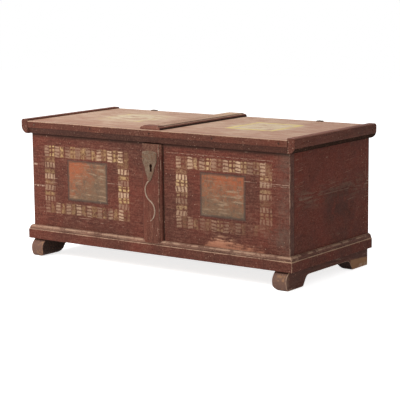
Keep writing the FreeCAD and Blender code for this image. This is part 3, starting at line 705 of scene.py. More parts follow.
@dataclass(frozen=True)
class Wire:
    """Number that flows between shader nodes; arithmetic on it adds Math nodes."""

    graph: "Graph"
    socket: Socket

    __add__ = math_method("ADD")
    __sub__ = math_method("SUBTRACT")
    __mul__ = math_method("MULTIPLY")
    __truediv__ = math_method("DIVIDE")
    size = math_method("ABSOLUTE")
    whole = math_method("FLOOR")
    part = math_method("FRACT")
    most = math_method("MAXIMUM")
    least = math_method("MINIMUM")
    over = math_method("GREATER_THAN")
    under = math_method("LESS_THAN")

    def __rsub__(self, other: float) -> "Wire":
        """Difference from a plain number."""
        return self.graph.value("ShaderNodeMath", {0: other, 1: self}, operation="SUBTRACT")

    def rise(self, low: "Number", high: "Number") -> "Wire":
        """Smooth step from 0 at low to 1 at high."""
        inputs = {"Value": self, "From Min": low, "From Max": high}
        return self.graph.value("ShaderNodeMapRange", inputs, interpolation_type="SMOOTHSTEP")

    def between(self, low: float, high: float, soft: float) -> "Wire":
        """1 between two limits, with soft edges outside them."""
        return self.rise(low - soft, low) * (1.0 - self.rise(high, high + soft))


Number = Wire | float
Inputs = dict[str | int, object]


class Graph:
    """Writer of shader nodes in one node tree."""

    def __init__(self, tree: NodeTree) -> None:
        """Starts on a tree."""
        self.tree = tree

    def feed(self, socket: Socket, value: object) -> None:
        """Links a socket to a wire or another socket, or sets its plain value.

        Args:
            socket: The socket.
            value: What it takes.
        """
        if isinstance(value, Wire):
            value = value.socket
        if isinstance(value, Socket):
            self.tree.links.new(value, socket)
        else:
            socket.default_value = (*value, 1.0) if socket.type == "RGBA" else value

    def add(self, kind: str, inputs: Optional[Inputs] = None, **settings: object) -> bpy.types.Node:
        """New node.

        Args:
            kind: Its type.
            inputs: Values of its inputs, by name or number.
            settings: Its properties.

        Returns:
            The node.
        """
        node = self.tree.nodes.new(kind)
        for name, value in settings.items():
            setattr(node, name, value)
        for key, value in (inputs or {}).items():
            self.feed(node.inputs[key], value)
        return node

    def value(self, kind: str, inputs: Inputs, **settings: object) -> Wire:
        """First output of a new node."""
        return Wire(self, self.add(kind, inputs, **settings).outputs[0])

    def split(self, vector: Socket) -> list[Wire]:
        """The three parts of a vector."""
        return [Wire(self, part) for part in self.add("ShaderNodeSeparateXYZ", {0: vector}).outputs]

    def vector(self, *parts: Number) -> Socket:
        """Vector from its three parts."""
        return self.add("ShaderNodeCombineXYZ", dict(enumerate(parts))).outputs[0]

    def stretched(self, vector: Socket, *factors: Number) -> Socket:
        """Vector with its three parts multiplied."""
        inputs = {0: vector, 1: self.vector(*factors)}
        return self.add("ShaderNodeVectorMath", inputs, operation="MULTIPLY").outputs[0]

    def noise(self, vector: Socket, scale: Number, detail: float = 3.0, rough: float = 0.55,
              twist: float = 0.0) -> Wire:
        """Noise about 0.5, read at a vector, with finer octaves of a given strength."""
        inputs = {"Vector": vector, "Scale": scale, "Detail": detail, "Roughness": rough, "Distortion": twist}
        return self.value("ShaderNodeTexNoise", inputs)

    def chance(self, vector: Socket) -> list[Wire]:
        """Three random numbers from 0 to 1 for a vector."""
        return self.split(self.add("ShaderNodeTexWhiteNoise", {"Vector": vector}).outputs["Color"])

    def mix(self, share: Number, first: object, second: object) -> Socket:
        """Mix of two colours, with a given share of the second."""
        return self.add("ShaderNodeMix", {0: share, 6: first, 7: second}, data_type="RGBA").outputs[2]

    def place(self, group: NodeTree, **inputs: object) -> dict[str, Wire]:
        """Outputs of a node group, by name."""
        node = self.add("ShaderNodeGroup", inputs, node_tree=group)
        return {out.name: Wire(self, out) for out in node.outputs}


class GroupWriter(Graph):
    """Writer of one node group that reads a vector and named numbers and gives named numbers."""

    def __init__(self, name: str, inputs: Sequence[str], outputs: Sequence[str]) -> None:
        """Starts the group.

        Args:
            name: Its name.
            inputs: Names of the numbers that it reads.
            outputs: Names of the numbers that it gives.
        """
        super().__init__(bpy.data.node_groups.new(name, "ShaderNodeTree"))
        sockets = [("Vector", "INPUT", "NodeSocketVector")]
        sockets += [(title, "INPUT", "NodeSocketFloat") for title in inputs]
        sockets += [(title, "OUTPUT", "NodeSocketFloat") for title in outputs]
        for title, way, kind in sockets:
            self.tree.interface.new_socket(name=title, in_out=way, socket_type=kind)
        taken = self.add("NodeGroupInput").outputs
        self.here = taken["Vector"]
        self.numbers = [Wire(self, taken[title]) for title in inputs]

    def give(self, **values: Wire) -> NodeTree:
        """The group, ended with its outputs."""
        self.add("NodeGroupOutput", values)
        return self.tree


def grain_group() -> NodeTree:
    """Wood grain along the vector's X: stretched noise for the streaks and finer noise for the pores."""
    g = GroupWriter("wood_grain", ("Length", "Fineness"), ("Streak", "Height"))
    length, fine = g.numbers
    stretched = g.stretched(g.here, length, fine, fine)
    streak = g.noise(stretched, 1.0, 5.0, 0.62, 0.35)
    pores = g.noise(g.stretched(stretched, 1.6, 5.0, 5.0), 1.0, 2.0, 0.6)
    return g.give(Streak=streak.rise(0.25, 0.75), Height=streak * 0.65 + pores * 0.35)


def mottle_group() -> NodeTree:
    """Uneven old paint: broad clouds, blotches of a hand's width and fine specks."""
    g = GroupWriter("paint_mottle", (), ("Broad", "Blotch", "Speck"))
    broad = g.noise(g.here, 4.5, 4.0, 0.6, 0.6).rise(0.3, 0.7)
    blotch = g.noise(g.here, 32.0, 5.0, 0.65, 0.4).rise(0.3, 0.72)
    speck = g.noise(g.here, 210.0, 5.0, 0.8).rise(0.32, 0.68)
    return g.give(Broad=broad, Blotch=blotch, Speck=speck)


def edge_wear_group() -> NodeTree:
    """Paint lost along edges: the mesh's worn-edge weight times itself, an amount and two noises."""
    g = GroupWriter("edge_wear", ("Arris", "Amount"), ("Mask", "Deep"))
    arris, amount = g.numbers
    ragged = g.noise(g.here, 150.0, 4.0, 0.65) - 0.5
    broad = g.noise(g.here, 16.0, 3.0, 0.6) - 0.5
    level = arris * (arris + ragged * 0.7 + broad * 0.7 + amount)
    return g.give(Mask=level.rise(0.86, 1.08), Deep=level.rise(1.12, 1.3))


def scratch_group() -> NodeTree:
    """Scratches along the vector's X: the crests of stretched noise, in patches."""
    g = GroupWriter("scratches", ("Length", "Fineness", "Cover"), ("Mask",))
    length, fine, cover = g.numbers
    crest = g.noise(g.stretched(g.here, length, fine, fine), 1.0, 1.5, 0.5).rise(0.64, 0.7)
    limit = 0.78 - cover * 0.45
    return g.give(Mask=crest * g.noise(g.here, 9.0, 3.0, 0.6).rise(limit, limit + 0.08))


def fleck_group() -> NodeTree:
    """Small chips: some cells of a Voronoi pattern, with ragged edges, gathered in patches."""
    g = GroupWriter("flecks", ("Scale", "Cover"), ("Mask",))
    scale, cover = g.numbers
    cells = g.add("ShaderNodeTexVoronoi", {"Vector": g.here, "Scale": scale}).outputs
    ragged = g.noise(g.here, scale * 4.0, 2.0, 0.6) - 0.5
    spot = 1.0 - (Wire(g, cells["Distance"]) + ragged * 0.3).rise(0.1, 0.24)
    pick = g.split(cells["Color"])[0]
    patch = g.noise(g.here, 11.0, 2.0, 0.6)
    return g.give(Mask=spot * pick.under(cover * patch.rise(0.35, 0.7)))


def grime_group() -> NodeTree:
    """Grime and dust: clouds with a fine dry edge."""
    g = GroupWriter("grime", ("Cover",), ("Mask",))
    cloud = g.noise(g.here, 7.0, 6.0, 0.68, 0.8)
    dry = g.noise(g.here, 130.0, 4.0, 0.7)
    return g.give(Mask=(cloud * 0.75 + dry * 0.25 + g.numbers[0]).rise(0.78, 1.05))


def square_group() -> NodeTree:
    """Painted square: how far inside a rectangle with slightly wavering sides, and its outline."""
    inputs = ("Across", "Up", "HalfWidth", "HalfHeight", "Line")
    g = GroupWriter("painted_square", inputs, ("Inside", "Outline"))
    across, up, half_width, half_height, line = g.numbers
    waver = (g.noise(g.here, 45.0, 3.0, 0.6) - 0.5) * 0.006
    gap = (across.size() - half_width).most(up.size() - half_height) + waver
    outline = (1.0 - gap.rise(line * 0.5, line)) * gap.rise(line * -1.0, line * -0.5)
    return g.give(Inside=1.0 - gap.rise(-0.0008, 0.0008), Outline=outline)


BLOCKS_ACROSS, BLOCKS_UP = 8.0, 6.0
BLOCK_WIDTH, BLOCK_HEIGHT = 0.0483, 0.0405
BLOCK_WAVER = 0.010


def stamp_group() -> NodeTree:
    """Ring of stamped blocks round a panel.

    Blocks are cells of a grid, of which the outermost ring is printed. A block holds a stack of bars beside
    one broad stroke or some dots, by chance. On the panel's sides they lie down.
    """
    g = GroupWriter("stamped_border", ("Across", "Up", "Choice"), ("Mask", "Solid"))
    right, above, choice = g.numbers
    waver = g.noise(g.here, 42.0, 4.0, 0.65)
    sway = g.noise(g.stretched(g.here, 1.0, 1.0, -1.0), 38.0, 4.0, 0.65)
    u = (right + (waver - 0.5) * BLOCK_WAVER) / BLOCK_WIDTH
    v = (above + (sway - 0.5) * BLOCK_WAVER) / BLOCK_HEIGHT
    inside = u.over(0.0) * u.under(BLOCKS_ACROSS) * v.over(0.0) * v.under(BLOCKS_UP)
    flat = v.under(1.0).most(v.over(BLOCKS_UP - 1.0))
    upright = u.under(1.0).most(u.over(BLOCKS_ACROSS - 1.0))
    ring = inside * flat.most(upright)
    lying = 1.0 - flat
    column = u * 2.0 * flat + v * 2.0 * lying
    height = v * flat + u * lying
    across, along = column.part(), height.part()
    solid = (column.whole() * 0.5).part().over(0.25)
    pick, strength, shift = g.chance(g.vector(column.whole(), height.whole(), choice))
    brush = g.noise(g.here, 90.0, 4.0, 0.7, 0.8)
    bars = (along * 3.4 + shift * 0.5 + (across - 0.5) * (shift - 0.5) * 0.5).part().between(0.28, 0.68, 0.26)
    bars = bars * across.between(0.14, 0.86, 0.12) * along.between(0.04, 0.94, 0.05)
    stroke = across.between(0.2, 0.66, 0.16) * along.between(0.08, 0.9, 0.08) * brush.rise(0.32, 0.62)
    dots = (along * 2.5).part().between(0.2, 0.7, 0.12)
    dots = dots * (across * 1.6 + shift).part().between(0.2, 0.7, 0.14)
    broken = stroke * pick.under(0.62) + dots * pick.over(0.62)
    cloud = g.noise(g.here, 17.0, 4.0, 0.65)
    ink = brush.rise(0.22, 0.48) * (cloud.rise(0.28, 0.52) * 0.85 + 0.15)
    mask = ring * (bars * (1.0 - solid) + broken * solid) * (strength * 0.8 + 0.2) * ink
    mask = mask.most(ring * cloud.rise(0.36, 0.62) * brush.rise(0.36, 0.66) * 0.42)
    return g.give(Mask=mask, Solid=solid)


class Effects:
    """The shared node groups, each built once."""

    def __init__(self) -> None:
        """Builds the groups."""
        self.grain = grain_group()
        self.mottle = mottle_group()
        self.wear = edge_wear_group()
        self.scratches = scratch_group()
        self.flecks = fleck_group()
        self.grime = grime_group()
        self.square = square_group()
        self.stamps = stamp_group()


class MaterialWriter(Graph):
    """Writer of one Principled material that reads object coordinates and takes its colours in layers."""

    def __init__(self, name: str, grain: Axis, colour: Colour) -> None:
        """Starts the material.

        Args:
            name: Its name.
            grain: Direction of the wood's grain, or of the hammer marks.
            colour: Its lowest layer.
        """
        self.material = bpy.data.materials.new(name)
        self.material.use_nodes = True
        super().__init__(self.material.node_tree)
        self.colour: object = colour
        self.surface = self.tree.nodes["Principled BSDF"]
        self.here = self.add("ShaderNodeTexCoord").outputs["Object"]
        self.x, self.y, self.z = parts = self.split(self.here)
        self.along = self.vector(parts.pop(grain.value), *parts)
        self.arris = Wire(self, self.add("ShaderNodeAttribute", attribute_name="arris").outputs["Fac"])

    def paint(self, share: Number, colour: object) -> None:
        """Lays a colour over the layers so far, as strongly as its share."""
        self.colour = self.mix(share, self.colour, colour)

    def finish(self, rough: Number, height: Number, relief: float, sheen: float = 0.15) -> Material:
        """Joins the looks to the shader.

        Args:
            rough: Roughness.
            height: Height of the fine relief, from 0 to 1.
            relief: Size of that relief, in metres.
            sheen: Strength of the shine.

        Returns:
            The material.
        """
        self.surface.inputs["Specular IOR Level"].default_value = sheen
        bump = self.add("ShaderNodeBump", {"Strength": 1.0, "Distance": relief, "Height": height})
        looks = {"Base Color": self.colour, "Roughness": rough, "Normal": bump.outputs["Normal"]}
        for name, value in looks.items():
            self.feed(self.surface.inputs[name], value)
        return self.material


class Art(Enum):
    """Painted decoration of a piece."""

    NONE = "none"
    FRONT = "front"
    LID = "lid"
    FOOT = "foot"
    SIDE = "side"
    BATTEN = "batten"
    SLOPE = "slope"
    PILASTER = "pilaster"


@dataclass(frozen=True)
class Panel:
    """One stamped and painted panel of the front, in metres.

    Attributes:
        left: Left side of its border.
        low: Bottom of its border.
        square: Centre of its square, across and up.
        half: Half the square's width and height.
        choice: Number that picks its stamps.
        faded: Strength of its print at the left bottom, and its gain to the right and up.
        ochre: Share of ochre in the broad strokes.
        slant: How the square's fading grows to the right and down, for each metre, and its start.
    """

    left: float
    low: float
    square: Span
    half: Span
    choice: float
    faded: Point
    ochre: float
    slant: Point


@dataclass(frozen=True)
class Mark:
    """A long scratch or open crack of the front: its span, its height and its half width, in metres."""

    start: float
    end: float
    height: float
    half: float


PANELS = (
    Panel(-0.493, 0.162, (-0.294, 0.2865), (0.087, 0.0685), 3.0, (0.34, 0.40, 0.42), 0.85, (2.2, 2.4, 0.04)),
    Panel(0.095, 0.164, (0.287, 0.286), (0.087, 0.070), 11.0, (0.36, -0.30, 0.68), 0.6, (-0.4, 3.2, 0.0)),
)
PANEL_LINE = 0.006
MARKS = (
    Mark(0.375, 0.549, 0.342, 0.0011),
    Mark(0.440, 0.549, 0.336, 0.0008),
    Mark(0.050, 0.480, 0.416, 0.0008),
    Mark(-0.200, -0.145, 0.290, 0.0008),
    Mark(-0.545, -0.495, 0.257, 0.0035),
    Mark(-0.548, -0.530, 0.334, 0.0040),
)
# Rubbed place under the right panel: its span, the slopes of its two sides, its bottom and its height
RUBBED_FROM, RUBBED_TO = 0.185, 0.47
RUBBED_RISE, RUBBED_FALL = 0.08, 0.19
RUBBED_LOW, RUBBED_HEIGHT = 0.113, 0.042
# Squares on the lid: the middle of each and how whole it is, then their depth, half sizes and outline
LID_SQUARES = ((-0.2825, 0.3), (0.2825, 1.0))
LID_SQUARE_DEPTH = 0.0125
LID_SQUARE_HALF = (0.0875, 0.0925)
LID_SQUARE_LINE = 0.011


@dataclass(frozen=True)
class PaintedWood:
    """Old oil paint on planks: coat, darker streaks, dusty bloom, worn places and grime."""

    name: str
    grain: Axis
    coat: Colour = (0.136, 0.033, 0.0215)
    shade: Colour = (0.068, 0.026, 0.0185)
    deep: Colour = (0.034, 0.017, 0.012)
    bloom: Colour = (0.245, 0.126, 0.084)
    bloom_share: float = 0.5
    lines: float = 0.4
    speckle: float = 0.4
    primer: Colour = (0.440, 0.290, 0.205)
    wood: Colour = (0.330, 0.195, 0.110)
    grime: Colour = (0.120, 0.088, 0.066)
    wear: float = 0.0
    scratch: float = 0.6
    fleck: float = 0.3
    grime_cover: float = 0.12
    rough: float = 0.66
    sheen: float = 0.08
    art: Art = Art.NONE

    cream: Colour = (0.580, 0.390, 0.245)
    ochre: Colour = (0.520, 0.340, 0.140)
    orange: Colour = (0.320, 0.096, 0.044)
    faded: Colour = (0.155, 0.095, 0.058)
    outline: Colour = (0.060, 0.050, 0.040)
    rubbed: Colour = (0.370, 0.160, 0.095)
    dust: Colour = (0.165, 0.105, 0.072)

    def material(self, effects: Effects) -> Material:
        """Builds the material."""
        return PaintWriter(self, effects).write()


class PaintWriter(MaterialWriter):
    """Writer of a painted finish: coat, decoration, grime and lost paint, one over the other."""

    def __init__(self, look: PaintedWood, effects: Effects) -> None:
        """Starts the material.

        Args:
            look: The finish.
            effects: The shared node groups.
        """
        super().__init__(look.name, look.grain, look.coat)
        self.look = look
        self.effects = effects
        self.streak, self.fibre = self.place(
            effects.grain, Vector=self.along, Length=24.0, Fineness=240.0).values()
        self.broad, self.blotch, self.speck = self.place(effects.mottle, Vector=self.here).values()
        self.cover: Number = look.grime_cover
        self.marks: list[Wire] = []

    def write(self) -> Material:
        """Paints every layer and joins them to the shader.

        Returns:
            The material.
        """
        look, effects, streak, blotch, speck = self.look, self.effects, self.streak, self.blotch, self.speck
        self.paint(self.broad * 0.75, look.shade)
        self.paint(streak.rise(0.5, 0.9) * blotch * look.bloom_share, look.bloom)
        self.paint((1.0 - streak).rise(0.5, 0.9) * look.lines, look.deep)
        self.paint(speck.rise(0.5, 0.95) * (blotch * 0.6 + 0.4) * look.speckle, look.bloom)
        self.paint((1.0 - speck).rise(0.5, 0.95) * look.speckle, look.deep)
        decorations = {
            Art.FRONT: self._front, Art.LID: self._lid, Art.FOOT: self._foot, Art.SIDE: self._side,
            Art.BATTEN: self._batten, Art.SLOPE: self._slope, Art.PILASTER: self._pilaster}
        if look.art in decorations:
            decorations[look.art]()
        dirt = self.place(effects.grime, Vector=self.here, Cover=self.cover)["Mask"]
        self.paint(dirt * 0.6, look.grime)
        scratch = self.place(
            effects.scratches, Vector=self.along, Length=17.0, Fineness=260.0, Cover=look.scratch)["Mask"]
        fleck = self.place(effects.flecks, Vector=self.here, Scale=110.0, Cover=look.fleck)["Mask"]
        worn = self.place(effects.wear, Vector=self.here, Arris=self.arris, Amount=look.wear)
        pale = (scratch * 0.45).most(fleck * 0.6).most(worn["Mask"] * 0.9)
        for mark in self.marks:
            pale = pale.most(mark)
        self.paint(pale, look.primer)
        self.paint(worn["Deep"] * 0.6, look.wood)
        rough = blotch * 0.14 + dirt * 0.12 + (look.rough - 0.07)
        height = self.fibre * 0.55 + speck * 0.25 + (1.0 - pale) * 0.3
        return self.finish(rough, height, 0.0006, look.sheen)

    def _front(self) -> None:
        """Stamped borders, painted squares, the rubbed place below, painted shade under the lid's lip and
        beside the pilaster, and long marks.
        """
        look, x, z, speck = self.look, self.x, self.z, self.speck
        streak = self.place(self.effects.grain, Vector=self.along, Length=16.0, Fineness=110.0)["Streak"]
        scuff = self.noise(self.here, 38.0, 5.0, 0.72, 0.4)
        for panel in PANELS:
            self._border(panel)
            self._square(panel, streak, scuff)
        slope = ((x - RUBBED_FROM) / RUBBED_RISE).least((RUBBED_TO - x) / RUBBED_FALL).least(1.0)
        ragged = (scuff - 0.5) * 1.2 + (streak - 0.5) * 0.7
        patch = (slope - (z - RUBBED_LOW) / RUBBED_HEIGHT + ragged).rise(0.0, 0.6) * slope.rise(0.0, 0.2)
        self.paint(patch * (streak * 0.4 + speck * 0.4 + 0.4), look.rubbed)
        self.paint(patch * streak.rise(0.5, 0.9) * z.rise(0.125, 0.145) * 0.5, look.cream)
        # Painted shade: dark bands beside the pilaster's edges and under the lid's lip
        joint = x.size().between(0.0400, 0.0450, 0.003).most(z.rise(0.428, 0.442))
        self.paint(joint * 0.8, look.deep)
        ends = x.rise(0.44, 0.53) * 0.25 + (0.0 - x).rise(0.49, 0.55) * 0.2
        self.cover = ends + look.grime_cover + z.between(0.155, 0.185, 0.03) * 0.1
        waver = (self.noise(self.here, 60.0, 2.0) - 0.5) * 0.004
        broken = self.noise(self.here, 120.0, 3.0, 0.7).rise(0.38, 0.6)
        for mark in MARKS:
            line = 1.0 - (z + waver - mark.height).size().rise(mark.half * 0.5, mark.half)
            self.marks.append(line * x.between(mark.start, mark.end, 0.006) * broken * 0.85)

    def _border(self, panel: Panel) -> None:
        """Ring of stamps round a panel of the front, fading across it.

        Args:
            panel: The panel.
        """
        across, up = self.x - panel.left, self.z - panel.low
        stamp = self.place(self.effects.stamps, Vector=self.here, Across=across, Up=up, Choice=panel.choice)
        start, gain, climb = panel.faded
        fade = across / (BLOCKS_ACROSS * BLOCK_WIDTH) * gain + up / (BLOCKS_UP * BLOCK_HEIGHT) * climb + start
        ink = self.mix(stamp["Solid"] * panel.ochre, self.look.cream, self.look.ochre)
        self.paint(stamp["Mask"] * fade.least(1.0), ink)

    def _square(self, panel: Panel, streak: Wire, scuff: Wire) -> None:
        """Faded square in the middle of a panel of the front.

        Args:
            panel: The panel.
            streak: Streaks along the boards.
            scuff: Scuffed places.
        """
        look, speck = self.look, self.speck
        across, up = self.x - panel.square[0], self.z - panel.square[1]
        square = self.place(
            self.effects.square, Vector=self.here, Across=across, Up=up, HalfWidth=panel.half[0],
            HalfHeight=panel.half[1], Line=PANEL_LINE)
        slant = across * panel.slant[0] - up * panel.slant[1] + panel.slant[2]
        lost = (streak * 0.2 + scuff * 0.4 + speck * 0.3 + slant).rise(0.1, 0.64)
        fill = self.mix(lost, look.orange, look.faded)
        fill = self.mix(scuff.rise(0.48, 0.62) * speck * 0.8, fill, look.outline)
        fill = self.mix(speck.rise(0.6, 1.0) * 0.2 + streak.rise(0.6, 0.9) * lost * 0.3, fill, look.cream)
        self.paint(square["Inside"] * 0.92, fill)
        self.paint(square["Outline"] * (speck * 0.3 + 0.4), look.outline)

    def _side(self) -> None:
        """Dust along the joint of the end boards, slanting scratches, and chips towards the back."""
        look, y, z = self.look, self.y, self.z
        cloud = self.noise(self.along, 22.0, 5.0, 0.7, 0.5)
        streak = self.place(self.effects.grain, Vector=self.along, Length=14.0, Fineness=130.0)["Streak"]
        dust = z.between(0.285, 0.300, 0.05) * cloud.rise(0.36, 0.6) * streak.rise(0.35, 0.75)
        self.paint(dust * 0.5, look.dust)
        self.paint(cloud.rise(0.5, 0.7) * streak.rise(0.5, 0.9) * 0.15, look.bloom)
        dull = 1.0 - ((y - 0.05).size() / 0.13).most((z - 0.245).size() / 0.08).rise(0.3, 1.0)
        self.paint(dull * cloud.rise(0.3, 0.55) * 0.6, look.deep)
        slant = self.vector(y + z * 0.09, z - y * 0.09, 0.0)
        lines = self.place(
            self.effects.scratches, Vector=slant, Length=9.0, Fineness=320.0, Cover=0.66)["Mask"]
        chips = self.place(
            self.effects.flecks, Vector=self.here, Scale=95.0, Cover=y.rise(0.12, 0.25) * 0.6)["Mask"]
        joint = (z - 0.288).size().under(0.0012) * cloud.rise(0.4, 0.55)
        self.marks += [lines * 0.3, chips * 0.6, joint * 0.35]

    def _foot(self) -> None:
        """Paint rubbed off the toes, and bare wood low on the heels."""
        look, y = self.look, self.y
        rough = self.noise(self.here, 55.0, 4.0, 0.65)
        ragged = (rough - 0.5) * 0.025
        toe = (0.0 - y + ragged).rise(0.244, 0.262)
        heel = y.rise(0.132, 0.142) * (1.0 - (self.z + ragged * 0.4 + y * 0.05).rise(0.040, 0.046))
        self.paint(toe * 0.6, look.bloom)
        self.paint(toe * rough.rise(0.52, 0.66) * 0.6, look.wood)
        self.paint(heel * 0.9, look.wood)

    def _batten(self) -> None:
        """Pale rubbed paint towards the back."""
        self.paint(self.y.rise(0.02, 0.22) * self.blotch.rise(0.2, 0.7) * 0.75, self.look.cream)

    def _slope(self) -> None:
        """Painted shade in the crease at the foot of a moulding's slope, and a rubbed line near its top."""
        # Painted shade along the crease
        self.paint(self.z.between(0.0985, 0.1005, 0.001) * 0.4, self.look.deep)
        line = self.z.between(0.1075, 0.1110, 0.0015)
        self.paint(line * self.blotch.rise(0.1, 0.6) * 0.6, self.look.primer)

    def _pilaster(self) -> None:
        """Pale specks at the top, redder streaks below."""
        top = self.z.rise(0.385, 0.435) * self.blotch.rise(0.2, 0.7)
        self.paint(top * self.speck * 0.16, self.look.cream)
        self.paint((1.0 - self.z.rise(0.14, 0.34)) * self.streak * 0.12, self.look.rubbed)

    def _lid(self) -> None:
        """Two rubbed squares on the lid, and redder paint left along its front and right."""
        look, front = self.look, 0.0 - self.y
        rub = self.noise(self.along, 9.0, 5.0, 0.68, 0.5)
        fine = self.noise(self.here, 60.0, 4.0, 0.7)
        red = front.rise(0.06, 0.26).most(self.x.rise(0.02, 0.55) * 0.75) * rub.rise(0.2, 0.55)
        self.paint(red * 0.85, look.shade)
        streak = self.place(self.effects.grain, Vector=self.along, Length=15.0, Fineness=45.0)["Streak"]
        self.paint(streak.rise(0.4, 0.85) * rub.rise(0.3, 0.6) * 0.8, look.shade)
        patch = self.noise(self.stretched(self.along, 8.0, 60.0, 60.0), 1.0, 7.0, 0.82)
        self.paint(patch.rise(0.43, 0.64) * 0.62, look.shade)
        self.paint((1.0 - patch).rise(0.44, 0.66) * 0.4, look.bloom)
        self.paint(front.rise(0.235, 0.262) * 0.6, look.deep)
        for middle, whole in LID_SQUARES:
            across, up = self.x - middle, self.y - LID_SQUARE_DEPTH
            square = self.place(
                self.effects.square, Vector=self.here, Across=across, Up=up, HalfWidth=LID_SQUARE_HALF[0],
                HalfHeight=LID_SQUARE_HALF[1], Line=LID_SQUARE_LINE)
            left = (rub * 0.5 + fine * 0.25 + streak * 0.25).rise(0.58 - whole * 0.2, 0.66 - whole * 0.2)
            near = 1.0 - (across * across + up * up).rise(0.004, 0.024)
            smear = near * (rub * 0.6 + streak * 0.4).rise(0.4, 0.62)
            self.paint(smear.most(square["Inside"] * left * 0.6) * 0.9, look.cream)
            self.paint(square["Outline"] * (left * 0.7 + whole * 0.3), look.ochre)


@dataclass(frozen=True)
class BareWood:
    """Unpainted wood, darkened by age: grain streaks, stains and dust."""

    name: str
    grain: Axis
    light: Colour = (0.300, 0.180, 0.098)
    dark: Colour = (0.165, 0.092, 0.048)
    stain: Colour = (0.070, 0.045, 0.030)
    stain_cover: float = 0.24
    rough: float = 0.72

    def material(self, effects: Effects) -> Material:
        """Builds the material.

        Args:
            effects: The shared node groups.

        Returns:
            The material.
        """
        w = MaterialWriter(self.name, self.grain, self.light)
        grain = w.place(effects.grain, Vector=w.along, Length=3.5, Fineness=70.0)
        mottle = w.place(effects.mottle, Vector=w.here)
        dirt = w.place(effects.grime, Vector=w.here, Cover=self.stain_cover)["Mask"]
        w.paint(grain["Streak"], self.dark)
        w.paint(mottle["Broad"] * 0.5, self.dark)
        w.paint((dirt * 0.7).most(w.arris.rise(0.1, 0.3) * 0.45), self.stain)
        rough = mottle["Blotch"] * 0.12 + (self.rough - 0.06)
        return w.finish(rough, grain["Height"] * 0.8 + mottle["Speck"] * 0.2, 0.0008)


@dataclass(frozen=True)
class WroughtIron:
    """Forged iron: dark scale, rust in patches and dust on the faces."""

    name: str
    scale: Colour = (0.060, 0.052, 0.046)
    rust: Colour = (0.150, 0.062, 0.030)
    dust: Colour = (0.250, 0.190, 0.145)
    dust_share: float = 0.2
    metal: float = 0.7
    rough: float = 0.55

    def material(self) -> Material:
        """Builds the material.

        Returns:
            The material.
        """
        w = MaterialWriter(self.name, Axis.X, self.scale)
        pits = w.noise(w.here, 260.0, 4.0, 0.7)
        patch = w.noise(w.here, 60.0, 6.0, 0.7, 0.5)
        w.paint(patch.rise(0.42, 0.62), self.rust)
        w.paint((pits.rise(0.35, 0.65) + 1.0 - patch.rise(0.38, 0.56)) * self.dust_share, self.dust)
        w.surface.inputs["Metallic"].default_value = self.metal
        rough = patch.rise(0.4, 0.65) * 0.2 + pits * 0.15 + (self.rough - 0.15)
        return w.finish(rough, pits * 0.6 + patch * 0.4, 0.0006)


